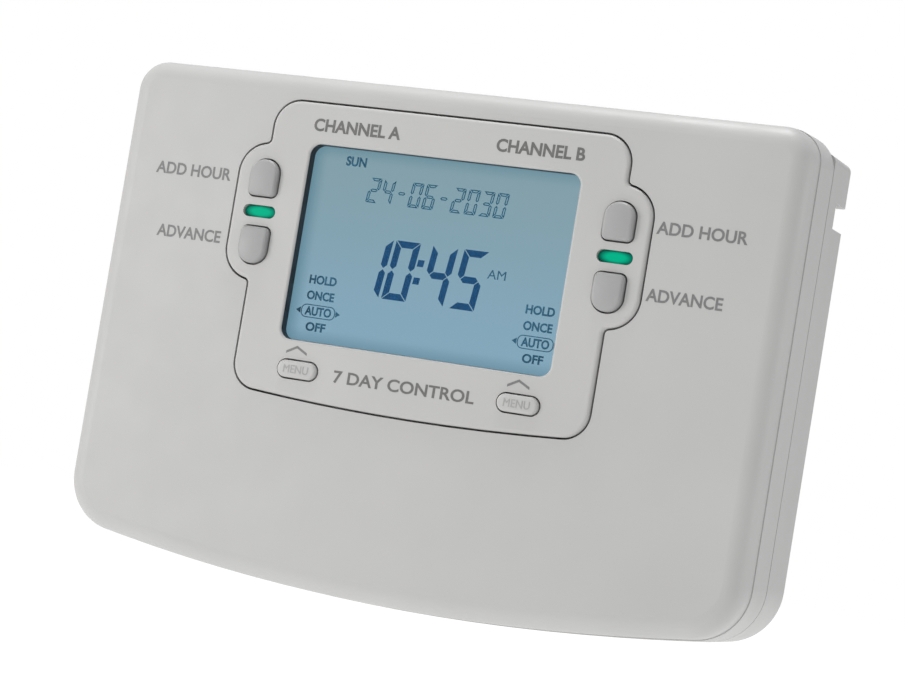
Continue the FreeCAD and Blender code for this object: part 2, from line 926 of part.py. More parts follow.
def button_ends(arch, grow="0"):
    """The corner radii at the top and at the foot of a side button, one end being arched."""
    arched, square = f"(arched_end + {grow})", f"(square_end + {grow})"
    return (arched, square) if arch > 0 else (square, arched)


def holes(body, centres, width, high, radius, depth):
    """Cuts a row of equal rounded openings from that depth to the front."""
    sketch = new_sketch(body, "XZ_Plane", depth)
    for across, up in centres:
        rounded(sketch, across, up, width, high, radius)
    pocket(body, sketch, "through")


def make_control_fascia():
    body = new_body("control_fascia")
    tray = new_sketch(body, "XZ_Plane", HOUSING_FRONT)
    case_outline(tray, "fascia_inset", "fascia_top", "fascia_corner", "(fascia_corner + 1)")
    pad(body, tray, f"plate_front - {HOUSING_FRONT}")
    hollow = new_sketch(body, "XZ_Plane", HOUSING_FRONT)
    corners = ("(fascia_corner - skirt)", "(fascia_corner + 1 - skirt)")
    case_outline(hollow, "fascia_inset + skirt", "fascia_top - skirt", *corners)
    pocket(body, hollow, f"plate_back - {HOUSING_FRONT}")

    island = new_sketch(body, "XZ_Plane", "plate_front - 5 * lap")
    places = panel_outline(island, "0")
    pad(body, island, "panel_depth + past - plate_front")
    low, high = value("plate_front"), value("panel_depth + past")
    round_panel_corners(body, places, "0", low, high)
    dome(body, "panel_depth")
    round_edges(body, front_of(value("panel_depth") - 0.9), "panel_edge_round")

    cave = new_sketch(body, "XZ_Plane", "plate_back - past")
    places = panel_outline(cave, "-skirt")
    pocket(body, cave, "panel_back - plate_back + past")
    round_panel_corners(body, places, "-skirt", value("plate_back"), high, necks_too=False)

    add_fascia_openings(body)
    add_fascia_bosses(body)
    return body


def add_fascia_openings(body):
    behind = "panel_back - past"
    window = [("0", "window_centre")]
    holes(body, window, "window_width", "window_high", "window_corner", behind)
    half, front = value("window_width") / 2 + 0.1, value("panel_depth") - 0.9
    low = value("window_centre - window_high / 2") - 0.1
    high = value("window_centre + window_high / 2") + 0.1

    def window_rim(edge):
        box = edge.BoundBox
        inside = abs(box.XMin) < half and abs(box.XMax) < half and low < box.ZMin and box.ZMax < high
        return inside and box.YMax < -front and box.YLength < 0.3

    round_edges(body, window_rim, "window_edge_round")
    lights = [(f"{side}light_x", "light_z") for side in ("-", "")]
    holes(body, lights, "light_width", "light_high", "light_high / 2 - 0.01", behind)
    modes = [(f"{side}mode_x", "mode_z") for side in ("-", "")]
    wide, high = "mode_width + 2 * button_gap", "mode_high + 2 * button_gap"
    holes(body, modes, wide, high, f"({high}) / 2 - 0.01", behind)
    keys = [(key_x(i), "key_z") for i in KEYS]
    wide, high = "key_width + 2 * button_gap", "key_high + 2 * button_gap"
    holes(body, keys, wide, high, "(key_corner + 0.2)", "plate_back - past")
    slot = ("knob_slot_width", "knob_slot_high", "0.6")
    holes(body, [("0", "knob_z")], *slot, "plate_back - past")
    sides = new_sketch(body, "XZ_Plane", behind)
    for side, centre, arch in SIDE_BUTTONS.values():
        size = ("side_button_width + 2 * button_gap", "side_button_high + 2 * button_gap")
        rounded(sides, f"{side}side_button_x", centre, *size, *button_ends(arch, "button_gap"))
    pocket(body, sides, "through")


def add_fascia_bosses(body):
    """Posts behind the plate: four for the circuit board, four for the case screws."""
    for screws, foot, radius in (
        (BOARD_SCREWS, "board_front", "board_post_radius"),
        (CASE_SCREWS, HOUSING_FRONT, "case_post_radius"),
    ):
        posts = new_sketch(body, "XZ_Plane", foot)
        for x, z in screws:
            circle(posts, x, z, radius)
        pad(body, posts, f"plate_back + lap - {foot}")
        pilots = new_sketch(body, "XZ_Plane", f"{foot} - lap")
        for x, z in screws:
            circle(pilots, x, z, "screw_radius - 0.25")
        pocket(body, pilots, f"plate_back - {foot} - 4 * lap")


# ---------------------------------------------------------------- buttons, keys and knob


def make_button(name, place, size, ends, front, seat, flange_thick, well_floor, crown, rim):
    """A cap with a flange behind its opening and a stem that ends in a switch's well.

    seat is the depth of the surface that the flange stops against, and well_floor the depth
    of the switch's floor, which the stem reaches at the end of its travel.
    """
    body = new_body(f"{name}_blank")
    flange_front = f"({seat} - stop_gap)"
    plate = new_sketch(body, "XZ_Plane", f"{flange_front} - {flange_thick}")
    grown = [f"({length} + 2 * flange)" for length in size]
    rounded(plate, *place, *grown, *[f"({end} + flange)" for end in ends])
    pad(body, plate, flange_thick)
    cap = new_sketch(body, "XZ_Plane", f"{flange_front} - lap")
    rounded(cap, *place, *size, *ends)
    pad(body, cap, f"{front} - {flange_front} + lap")
    foot = f"({well_floor} + button_travel + stem_gap)"
    stem = new_sketch(body, "XZ_Plane", foot)
    circle(stem, *place, "stem_radius")
    pad(body, stem, f"{flange_front} - {flange_thick} + lap - {foot}")

    ball = doc.addObject("Part::Sphere", f"{name}_crown")
    bind(ball, "Radius", crown)
    bind(ball, "Placement.Base.x", place[0])
    bind(ball, "Placement.Base.y", f"{crown} - {front}")
    bind(ball, "Placement.Base.z", place[1])
    crowned = doc.addObject("Part::Common", f"{name}_crowned")
    crowned.Base, crowned.Tool = body, ball
    return blunt(name, crowned, rim, front_of(value(f"{front} - cap_rim")), "Part::Fillet")


def make_buttons():
    made = []
    well = "(board_front + switch_tall - well_depth)"
    front = "(panel_depth + button_proud)"
    for name, (side, centre, arch) in SIDE_BUTTONS.items():
        place = (f"({side}side_button_x)", centre)
        size = ("side_button_width", "side_button_high")
        how = (front, "panel_back", "flange_thick", well, "button_crown", "0.7")
        made.append(make_button(name, place, size, button_ends(arch), *how))
    for side, word in (("-", "left"), ("", "right")):
        place = (f"({side}mode_x)", "mode_z")
        ends = ("(mode_high / 2 - 0.01)", "(mode_high / 2 - 0.01)")
        proud = "(panel_depth + mode_proud)"
        how = (proud, "panel_back", "flange_thick", well, "small_crown", "0.6")
        made.append(make_button(f"mode_button_{word}", place, ("mode_width", "mode_high"), ends, *how))
    key_well = "(board_front + key_switch_tall - key_well_depth)"
    for i in KEYS:
        place = (key_x(i), "key_z")
        proud = "(plate_front + key_proud)"
        how = (proud, "plate_back", "key_flange_thick", key_well, "small_crown", "0.5")
        size, ends = ("key_width", "key_high"), ("key_corner", "key_corner")
        made.append(make_button(f"program_key_{i + 1}", place, size, ends, *how))
    return made


def make_knob():
    """The function switch's knob, which slides along X in the plate's slot."""
    centre = ("0", "knob_z")
    front = "(plate_back - stop_gap)"
    back = f"({front} - knob_flange_thick)"
    flange_size = ("knob_flange_width", "knob_flange_high", "knob_flange_thick")
    flange = block("knob_flange", *centre, back, *flange_size)
    grip_size = ("knob_grip_width", "knob_grip_high", "knob_grip_tall")
    grip = block("knob_grip", *centre, f"{front} - lap", *grip_size)
    tip = value(f"{front} - lap + knob_grip_tall") - 0.1
    ridged = blunt("knob_ridge", grip, "0.5", front_of(tip))
    pin_size = ("knob_pin_width", "knob_pin_high", "knob_pin_tall")
    pin = block("knob_pin", *centre, f"{back} + lap - knob_pin_tall", *pin_size)
    return fuse("function_knob", flange, ridged, pin)


# ---------------------------------------------------------------- display and lights


def make_display():
    """The clear lens, and the display cell with its film and light guide in a holder."""
    centre = ("0", "display_centre")
    rear = "(glass_front - 2 * glass_thick - glass_gap)"
    film = f"({rear} - layer_gap - film_thick)"
    guide = f"({film} - guide_thick)"
    lens_place = ("0", "window_centre", "panel_back - lens_thick")
    lens = block("display_lens_blank", *lens_place, "lens_width", "lens_high", "lens_thick")
    made = [blunt("display_lens", lens, "lens_corner", along("Y"), "Part::Fillet")]
    glass = ("glass_width", "glass_high", "glass_thick")
    made.append(block("display_front_glass", *centre, "glass_front - glass_thick", *glass))
    made.append(block("display_rear_glass", *centre, rear, *glass))
    made.append(block("display_reflector", *centre, film, "film_width", "view_high", "film_thick"))
    guide_size = ("view_width", "view_high", "guide_thick")
    made.append(block("backlight_guide", *centre, guide, *guide_size))

    lamps = []
    lamp = ("lamp_width", "lamp_high", "lamp_thick")
    for i in (-1, 0, 1):
        place = ("(view_width / 2 + 0.2 + lamp_width / 2)", f"(display_centre + {i} * lamp_pitch)")
        lamps.append(block(f"backlight_led_{i + 2}", *place, guide, *lamp))
    made.append(group("backlight_leds", *lamps))

    high = "glass_high + 2 * (glass_clear + holder_wall)"
    frame = block("holder_blank", *centre, "board_front", "holder_width", high, "glass_front - board_front")
    inside = ("glass_width + 2 * glass_clear", "glass_high + 2 * glass_clear")
    cavity = block("holder_cavity", *centre, guide, *inside, f"glass_front + past - {guide}")
    slots = []
    strips = []
    slot = ("strip_length + 2 * strip_clear", "strip_thick + 2 * strip_clear")
    for i, side in enumerate(("-", "+")):
        z = f"(display_centre {side} strip_offset)"
        through = f"{guide} - board_front + 2 * past"
        slots.append(block(f"holder_slot_{i}", "0", z, "board_front - past", *slot, through))
        size = ("strip_length", "strip_thick", f"{rear} - board_front")
        strips.append(block(f"strip_{i}", "0", z, "board_front", *size))
    made.append(cut("display_holder", frame, cavity, *slots))
    made.append(group("contact_strips", *strips))
    return made


def make_lights():
    """The clear bars that show each channel's light, and the emitters behind them."""
    made = []
    emitters = []
    foot = "(board_front + emitter_tall + pipe_gap)"
    front = "(panel_depth - light_x ^ 2 / (2 * dome_radius) - light_recess)"
    width, high = "(light_width - 2 * light_clear)", "(light_high - 2 * light_clear)"
    for side, word in (("-", "left"), ("", "right")):
        body = new_body(f"light_pipe_{word}")
        place = (f"({side}light_x)", "light_z")
        stem = new_sketch(body, "XZ_Plane", foot)
        rounded(stem, *place, width, high, f"({high} / 2 - 0.01)")
        pad(body, stem, f"{front} - {foot}")
        round_edges(body, front_of(value(front) - 0.1), "0.3")
        stop = new_sketch(body, "XZ_Plane", "panel_back - pipe_stop")
        rounded(stop, *place, "light_width + 1", "light_high + 1", "(light_high / 2)")
        pad(body, stop, "pipe_stop")
        made.append(body)
        size = ("emitter_width", "emitter_high", "emitter_tall")
        emitters.append(block(f"emitter_{word}", *place, "board_front", *size))
    made.append(group("status_leds", *emitters))
    return made


# ---------------------------------------------------------------- circuit board and its parts


def make_switch(name, x, z, tall, well):
    """A tactile switch whose plunger well takes a button's stem."""
    can = block(f"{name}_can", x, z, "board_front", "switch_body", "switch_body", tall)
    soft = blunt(f"{name}_soft", can, "0.4", along("Y"))
    hole = rod(f"{name}_well", x, z, f"board_front + {tall} - {well}", "well_radius", f"{well} + 1")
    return cut(name, soft, hole)


def make_switches():
    sides = []
    for name, (side, centre, _) in SIDE_BUTTONS.items():
        x = f"({side}side_button_x)"
        sides.append(make_switch(f"switch_for_{name}", x, centre, "switch_tall", "well_depth"))
    modes = []
    for side, word in (("-", "left"), ("", "right")):
        where = (f"({side}mode_x)", "mode_z")
        modes.append(make_switch(f"switch_for_mode_{word}", *where, "switch_tall", "well_depth"))
    keys = []
    for i in KEYS:
        where = (key_x(i), "key_z")
        name = f"switch_for_key_{i + 1}"
        keys.append(make_switch(name, *where, "key_switch_tall", "key_well_depth"))
    centre = ("0", "knob_z")
    slide = block("slide_can", *centre, "board_front", "slide_width", "slide_high", "slide_tall")
    track_size = ("track_width", "track_high", "slide_tall")
    track = block("slide_track", *centre, "board_front + slide_floor", *track_size)
    return [
        group("side_switches", *sides),
        group("mode_switches", *modes),
        group("key_switches", *keys),
        cut("function_switch", slide, track),
    ]


def make_board():
    body = new_body("circuit_board")
    sketch = new_sketch(body, "XZ_Plane", "board_back")
    high = "(board_top - board_bottom)"
    middle = "((board_top + board_bottom) / 2)"
    rounded(sketch, "0", middle, "2 * board_half_width", high, "1.5")
    for x, z in BOARD_SCREWS:
        circle(sketch, x, z, "screw_radius + 0.15")
    pad(body, sketch, "board_front - board_back")
    return body


def hung(name, x, z, width, high, tall):
    """A box component on the back of the board."""
    return block(name, x, z, f"board_back - {tall}", width, high, tall)


def behind(depth):
    """Picks edges that lie wholly behind that depth."""

    def wanted(edge):
        return edge.BoundBox.YMin > -depth

    return wanted


def is_round(edge):
    return edge.Curve.TypeId == "Part::GeomCircle"


RELAY_X = ("-39", "-17")
ROW_Z = "-13"
CELL = ("40", "13")
CHIP = ("-2", "12")


def make_components():
    made = make_power_parts()
    ring = rod("cell_ring", *CELL, "board_back - cell_ring_tall", "cell_ring", "cell_ring_tall")
    bore = ("board_back - cell_tall - past", "cell_radius + cell_clear", "cell_tall + past - 6 * lap")
    made.append(cut("cell_holder", ring, rod("cell_seat", *CELL, *bore)))
    made.append(rod("backup_cell", *CELL, "board_back - cell_tall", "cell_radius", "cell_thick"))
    chip = hung("chip_case", *CHIP, "chip_side", "chip_side", "chip_tall")
    made.append(blunt("microcontroller", chip, "0.3", behind(value("board_back - chip_tall") + 0.1)))
    made.append(make_chip_legs())
    crystal = hung("crystal_case", "18", "4", "crystal_width", "crystal_high", "crystal_tall")
    made.append(blunt("clock_crystal", crystal, "1.8", along("Y"), "Part::Fillet"))
    return made


def make_power_parts():
    """What switches the two outputs and what feeds the board from the supply."""
    relays = []
    back = behind(value("board_back - relay_tall") + 0.3)
    for i, x in enumerate(RELAY_X):
        case = hung(f"relay_case_{i}", x, "-16.5", "relay_width", "relay_high", "relay_tall")
        relays.append(blunt(f"relay_{i}", case, "0.6", back))
    film = hung("film_case", "5", ROW_Z, "film_box_width", "film_box_high", "film_box_tall")
    can = bar("can", "X", ("18", "board_back - can_axis", ROW_Z), "can_radius", "can_length")
    disc = bar("disc", "X", ("38", "board_back - disc_axis", ROW_Z), "disc_radius", "disc_thick")
    resistors = []
    for i, z in enumerate(("-24", "-29.5")):
        start = ("-4", "board_back - resistor_axis", z)
        resistors.append(bar(f"resistor_{i}", "X", start, "resistor_radius", "resistor_length"))
    return [
        group("relays", *relays),
        blunt("dropper_capacitor", film, "0.5", along("Y"), "Part::Fillet"),
        blunt("reservoir_capacitor", can, "0.8", is_round),
        blunt("varistor", disc, "1", is_round, "Part::Fillet"),
        group("power_resistors", *resistors),
    ]


def make_chip_legs():
    legs = []
    reach = "(chip_side / 2 + leg_length / 2)"
    for i in range(int(SIZES["legs_per_side"])):
        z = f"({CHIP[1]} + ({i} - (legs_per_side - 1) / 2) * leg_pitch)"
        for side, word in (("-", "left"), ("+", "right")):
            x = f"({CHIP[0]} {side} {reach})"
            legs.append(hung(f"leg_{word}_{i}", x, z, "leg_length", "leg_side", "leg_side"))
    return group("microcontroller_legs", *legs)


def way_x(index):
    return f"(({index} - (way_count - 1) / 2) * way_pitch)"


def make_blades():
    """Blades that plug into the terminals when the timer is hung on its wall plate."""
    blades = []
    tip = behind(value("blade_back") + 0.1)
    for i in WAYS:
        size = ("blade_width", "blade_high", "board_back - blade_back")
        blade = block(f"blade_{i}", way_x(i), "blade_z", "blade_back", *size)
        blades.append(blunt(f"blade_tip_{i}", blade, "0.25", tip))
    return group("connector_blades", *blades)


# ---------------------------------------------------------------- wall plate and terminals


def make_wall_plate():
    body = new_body("wall_plate")
    sketch = new_sketch(body, "XZ_Plane")
    middle = "((plate_top + plate_bottom) / 2)"
    high = "(plate_top - plate_bottom)"
    rounded(sketch, "0", middle, "2 * plate_half_width", high, "plate_corner")
    pad(body, sketch, "plate_thick")
    openings = new_sketch(body, "XZ_Plane", "-past")
    slot = ("fixing_slot_length", "fixing_slot_width", "(fixing_slot_width / 2 - 0.01)")
    for side in ("-", ""):
        rounded(openings, f"({side}fixing_centres / 2)", "0", *slot)
    middle = "((aperture_low + aperture_high) / 2)"
    high = "(aperture_high - aperture_low)"
    rounded(openings, "0", middle, "aperture_width", high, "aperture_corner")
    pocket(body, openings, "plate_thick + 2 * past")
    add_hooks(body)
    add_anchors(body)
    return body


def add_hooks(body):
    """Two hooks at the top that carry the timer by its ribs."""
    foot = "(plate_top + lap - hook_thick / 2)"
    arms = new_sketch(body, "XZ_Plane")
    lips = new_sketch(body, "XZ_Plane", "hook_depth - lip_thick")
    for side in ("-", ""):
        rectangle(arms, side + "hook_x", f"{foot} + hook_thick / 2", "hook_width", "hook_thick")
        rectangle(lips, side + "hook_x", f"{foot} + lip_high / 2", "hook_width", "lip_high")
    pad(body, arms, "hook_depth")
    pad(body, lips, "lip_thick")


def add_anchors(body):
    """Two threaded blocks at the foot that take the retaining screws."""
    anchors = new_sketch(body, "XZ_Plane", "plate_thick - lap")
    for side in ("-", ""):
        middle = "(plate_bottom + anchor_high / 2)"
        rectangle(anchors, side + "retainer_x", middle, "anchor_width", "anchor_high")
    pad(body, anchors, "anchor_depth - plate_thick + lap")
    threads = new_sketch(body, "XY_Plane", "plate_bottom + anchor_high + past")
    for side in ("-", ""):
        circle(threads, side + "retainer_x", "(-retainer_depth)", "screw_radius")
    pocket(body, threads, "anchor_high + 2 * past", forwards=False)


def make_terminals():
    """The terminal block, its brass cages and their screws; wires enter from above."""
    width = "(way_count * way_pitch + 2 * block_margin)"
    high = "(block_high - block_low)"
    middle = "((block_high + block_low) / 2)"
    thick = "block_front - plate_thick"
    solid = block("block_blank", "0", middle, "plate_thick", width, high, thick)
    cavities = []
    clamps = []
    screws = []
    for i in WAYS:
        x = way_x(i)
        room = ("cage_width + 2 * cage_clear", "cage_high + 2 * cage_clear", "block_front")
        cavities.append(block(f"way_{i}", x, "cage_z", "cage_back - cage_clear", *room))
        mouth = (x, "wire_depth", "cage_z + cage_high / 2")
        cavities.append(bar(f"entry_{i}", "Z", mouth, "wire_radius", "block_high - cage_z"))
        clamps.append(make_clamp(i, x))
        screws.append(make_clamp_screw(i, x))
    return [
        cut("terminal_block", solid, *cavities),
        group("terminal_clamps", *clamps),
        group("terminal_screws", *screws),
    ]


def make_clamp(i, x):
    cage = block(f"cage_{i}", x, "cage_z", "cage_back", "cage_width", "cage_high", "cage_thick")
    wire = bar(f"wire_way_{i}", "Z", (x, "wire_depth", "cage_z + 4 * lap"), "wire_radius", "cage_high")
    thread = rod(f"thread_{i}", x, "clamp_screw_z", "wire_depth", "screw_radius", "cage_thick")
    gap = ("blade_width + 2 * lap", "blade_high + 2 * lap", "block_front")
    slot = block(f"blade_slot_{i}", x, "blade_z", "blade_back - past", *gap)
    return cut(f"clamp_{i}", cage, wire, thread, slot)


def make_clamp_screw(i, x):
    where = (x, "clamp_screw_z")
    shank_length = "clamp_head_back + lap - clamp_screw_back"
    shank = rod(f"shank_{i}", *where, "clamp_screw_back", "screw_radius", shank_length)
    head = rod(f"head_{i}", *where, "clamp_head_back", "clamp_head_radius", "clamp_head_tall")
    floor = "clamp_head_back + clamp_head_tall - screw_slot_deep"
    slot = ("3 * clamp_head_radius", "screw_slot_width", "past")
    groove = block(f"groove_{i}", *where, floor, *slot)
    return cut(f"screw_{i}", fuse(f"screw_blank_{i}", shank, head), groove)


# ---------------------------------------------------------------- fasteners


def make_screws(name, screws, seat, length):
    """Cross-recessed screws driven towards the front; seat is the depth under each head."""
    made = []
    back = behind(value(seat) - 1)
    for i, (x, z) in enumerate(screws):
        shank = rod(f"{name}_shank_{i}", x, z, f"{seat} - lap", "screw_radius - 0.25", length)
        head_back = f"{seat} - pan_head_tall"
        head = rod(f"{name}_head_{i}", x, z, head_back, "head_radius - 0.2", "pan_head_tall")
        soft = blunt(f"{name}_soft_{i}", head, "0.5", back)
        bar_size = ["recess_length", "recess_width"]
        reach = (f"{head_back} - past", "recess_deep + past")
        flat = block(f"{name}_flat_{i}", x, z, reach[0], *bar_size, reach[1])
        tall = block(f"{name}_tall_{i}", x, z, reach[0], *reversed(bar_size), reach[1])
        tools = (flat, tall)
        made.append(cut(f"{name}_{i}", fuse(f"{name}_whole_{i}", shank, soft), *tools))
    return group(name, *made)


def make_retainers():
    """The two screws that go up through the lower wall into the wall plate's anchors."""
    made = []
    foot = "(-retainer_seat - retainer_head_tall)"
    for i, side in enumerate(("-", "")):
        x = side + "retainer_x"
        start = (x, "retainer_depth", "(-retainer_seat)")
        shank = bar(f"retainer_shank_{i}", "Z", start, "screw_radius", "retainer_length")
        start = (x, "retainer_depth", foot)
        head = bar(f"retainer_head_{i}", "Z", start, "head_radius", "retainer_head_tall")
        across = ("3 * head_radius", "2 * retainer_slot_deep", "retainer_slot_deep")
        slot_back = "retainer_depth - retainer_slot_deep / 2"
        slot = block(f"retainer_slot_{i}", x, foot, slot_back, *across)
        made.append(cut(f"retainer_{i}", fuse(f"retainer_blank_{i}", shank, head), slot))
    return group("retaining_screws", *made)


def make_fasteners():
    pin_start = ("(-lug_outer)", "hinge_depth", HINGE_Z)
    return [
        make_screws("case_screws", CASE_SCREWS, "floor_back", "case_screw_length"),
        make_screws("board_screws", BOARD_SCREWS, "board_back", "board_screw_length"),
        make_retainers(),
        bar("hinge_pin", "X", pin_start, "pin_radius", "2 * lug_outer"),
    ]


# ---------------------------------------------------------------- build and write


def check_document():
    for thing in doc.Objects:
        bad = [state for state in thing.State if state in ("Invalid", "Error")]
        if bad:
            raise RuntimeError(f"{thing.Label} is {bad}: {thing.getStatusString()}")


def write_parts(parts):
    for part in parts:
        if part.Shape.isNull() or not part.Shape.isValid():
            raise RuntimeError(f"{part.Label} has no valid shape")
    os.makedirs("parts", exist_ok=True)
    for part in parts:
        part.Shape.exportStep(os.path.join("parts", f"{part.Label}.step"))
        print(part.Label, len(part.Shape.Solids), round(part.Shape.Volume, 1))


parts = [make_front_cover(), make_rear_housing(), make_control_fascia()]
parts += make_buttons() + [make_knob()]
parts += make_display() + make_lights()
parts += [make_board(), make_blades()] + make_switches() + make_components()
parts += [make_wall_plate()] + make_terminals() + make_fasteners()
doc.recompute()
check_document()
write_parts(parts)
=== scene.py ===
"""Looks of a wall-mounted two-channel heating timer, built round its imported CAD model.

Frame: metres, +X right, +Z up, the wall is the plane Y = 0 and the front faces -Y.
Sizes written here are in millimetres and go through MM.
"""

import json
import math

import bmesh
import bpy
from mathutils import Matrix, Vector


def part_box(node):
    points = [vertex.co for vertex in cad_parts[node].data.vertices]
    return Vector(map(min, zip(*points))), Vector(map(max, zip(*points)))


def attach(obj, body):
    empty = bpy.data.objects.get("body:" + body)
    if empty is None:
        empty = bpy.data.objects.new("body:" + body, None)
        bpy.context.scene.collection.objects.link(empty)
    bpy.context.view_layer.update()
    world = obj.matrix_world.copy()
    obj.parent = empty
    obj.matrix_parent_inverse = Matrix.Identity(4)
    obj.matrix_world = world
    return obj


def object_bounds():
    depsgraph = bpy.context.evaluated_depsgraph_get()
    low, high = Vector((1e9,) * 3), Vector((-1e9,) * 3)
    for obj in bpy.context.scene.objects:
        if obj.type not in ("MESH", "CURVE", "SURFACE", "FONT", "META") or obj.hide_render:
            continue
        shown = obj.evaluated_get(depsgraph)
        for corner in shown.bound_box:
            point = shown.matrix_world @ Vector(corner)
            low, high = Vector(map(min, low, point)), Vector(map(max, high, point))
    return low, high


MM = 0.001

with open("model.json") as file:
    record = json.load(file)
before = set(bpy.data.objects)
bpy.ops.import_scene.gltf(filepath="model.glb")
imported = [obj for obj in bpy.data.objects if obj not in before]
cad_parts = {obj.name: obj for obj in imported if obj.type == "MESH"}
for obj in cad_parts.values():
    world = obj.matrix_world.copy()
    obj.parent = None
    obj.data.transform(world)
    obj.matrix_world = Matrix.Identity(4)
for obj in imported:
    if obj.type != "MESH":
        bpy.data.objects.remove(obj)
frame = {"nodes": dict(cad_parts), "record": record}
NODES = frame["nodes"]
CAD_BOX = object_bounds()


# ---------------------------------------------------------------- node helpers


class Shader:
    """A material's node tree with short calls for what repeats."""

    def __init__(self, name):
        self.material = bpy.data.materials.new(name)
        self.material.use_nodes = True
        self.tree = self.material.node_tree
        self.tree.nodes.clear()
        self.out = self.add("ShaderNodeOutputMaterial")
        self.where = self.add("ShaderNodeTexCoord").outputs["Object"]

    def add(self, kind, **settings):
        node = self.tree.nodes.new(kind)
        for key, setting in settings.items():
            setattr(node, key, setting)
        return node

    def join(self, source, target):
        self.tree.links.new(source, target)

    def principled(self, colour, roughness, **inputs):
        node = self.add("ShaderNodeBsdfPrincipled")
        node.inputs["Base Color"].default_value = (*colour, 1)
        node.inputs["Roughness"].default_value = roughness
        for key, number in inputs.items():
            node.inputs[key.replace("_", " ")].default_value = number
        self.join(node.outputs["BSDF"], self.out.inputs["Surface"])
        return node

    def noise(self, size_mm, detail=2.0, stretch=(1, 1, 1)):
        """Noise whose features are about size_mm across, longer where stretch is under 1."""
        mapping = self.add("ShaderNodeMapping")
        mapping.inputs["Scale"].default_value = stretch
        self.join(self.where, mapping.inputs["Vector"])
        node = self.add("ShaderNodeTexNoise")
        node.inputs["Scale"].default_value = 1 / (size_mm * MM)
        node.inputs["Detail"].default_value = detail
        self.join(mapping.outputs["Vector"], node.inputs["Vector"])
        return node.outputs["Fac"]

    def spread(self, source, low, high):
        """Maps 0.3 to 0.7, where most of the noise lies, on to low to high."""
        node = self.add("ShaderNodeMapRange")
        node.inputs["From Min"].default_value = 0.3
        node.inputs["From Max"].default_value = 0.7
        node.inputs["To Min"].default_value = low
        node.inputs["To Max"].default_value = high
        self.join(source, node.inputs["Value"])
        return node.outputs["Result"]

    def blend(self, factor, first, second):
        """A colour between two; each of them is a colour or another node's output."""
        node = self.add("ShaderNodeMix", data_type="RGBA")
        self.join(factor, node.inputs["Factor"])
        for socket, colour in (("A", first), ("B", second)):
            slot = next(i for i in node.inputs if i.name == socket and i.type == "RGBA")
            if isinstance(colour, tuple):
                slot.default_value = (*colour, 1)
            else:
                self.join(colour, slot)
        return next(o for o in node.outputs if o.type == "RGBA")

    def bump(self, height, depth_mm, shader):
        """Relief in the normals only, depth_mm deep where height goes from 0 to 1."""
        node = self.add("ShaderNodeBump")
        node.inputs["Strength"].default_value = 1.0
        node.inputs["Distance"].default_value = depth_mm * MM
        self.join(height, node.inputs["Height"])
        self.join(node.outputs["Normal"], shader.inputs["Normal"])

    def axis(self, letter):
        """The place along X, Y or Z, in metres of the shared frame."""
        node = self.add("ShaderNodeSeparateXYZ")
        self.join(self.where, node.inputs["Vector"])
        return node.outputs[letter]

    def math(self, operation, first, second=None):
        """A maths node; each term is a number or another node's output."""
        node = self.add("ShaderNodeMath", operation=operation)
        for socket, term in zip(node.inputs, (first, second)):
            if term is None:
                continue
            if isinstance(term, (int, float)):
                socket.default_value = term
            else:
                self.join(term, socket)
        return node.outputs[0]

    def inside(self, letter, middle, half, soft):
        """1 within half of middle along that axis and 0 outside, over a soft edge."""
        away = self.math("ABSOLUTE", self.math("SUBTRACT", self.axis(letter), middle))
        node = self.add("ShaderNodeMapRange")
        node.inputs["From Min"].default_value = half - soft
        node.inputs["From Max"].default_value = half + soft
        node.inputs["To Min"].default_value = 1.0
        node.inputs["To Max"].default_value = 0.0
        self.join(away, node.inputs["Value"])
        return node.outputs["Result"]


def tinted(colour, factor):
    """The colour made darker or lighter."""
    return tuple(min(1.0, c * factor) for c in colour)


def moulded(name, colour, roughness=0.5, grain=0.45, depth=0.012, drift=0.025):
    """Moulded plastic: fine spark-eroded texture, faint flow marks and uneven gloss."""
    s = Shader(name)
    shader = s.principled(colour, roughness, IOR=1.5)
    cloudy = s.spread(s.noise(28, 3.0), 0, 1)
    base = s.blend(cloudy, tinted(colour, 1 - drift), tinted(colour, 1 + drift))
    s.join(base, shader.inputs["Base Color"])
    gloss = s.spread(s.noise(6, 3.0), roughness - 0.05, roughness + 0.05)
    s.join(gloss, shader.inputs["Roughness"])
    s.bump(s.noise(grain, 2.5), depth, shader)
    return s


def polished(name, colour, roughness=0.2, **inputs):
    """A smooth hard surface with faint waviness."""
    s = Shader(name)
    shader = s.principled(colour, roughness, **inputs)
    base = s.blend(s.spread(s.noise(9), 0, 1), tinted(colour, 0.94), tinted(colour, 1.06))
    s.join(base, shader.inputs["Base Color"])
    s.join(s.spread(s.noise(3), roughness * 0.8, roughness * 1.3), shader.inputs["Roughness"])
    s.bump(s.noise(5), 0.01, shader)
    return s


def metal(name, colour, roughness, along=(1, 1, 1)):
    """Bare or plated metal with drawn marks; along under 1 stretches them on that axis."""
    s = Shader(name)
    shader = s.principled(colour, roughness, Metallic=1.0)
    marks = s.noise(0.35, 3.0, along)
    base = s.blend(s.spread(marks, 0, 1), tinted(colour, 0.85), tinted(colour, 1.1))
    s.join(base, shader.inputs["Base Color"])
    s.join(s.spread(marks, roughness * 0.75, roughness * 1.35), shader.inputs["Roughness"])
    s.bump(marks, 0.006, shader)
    return s


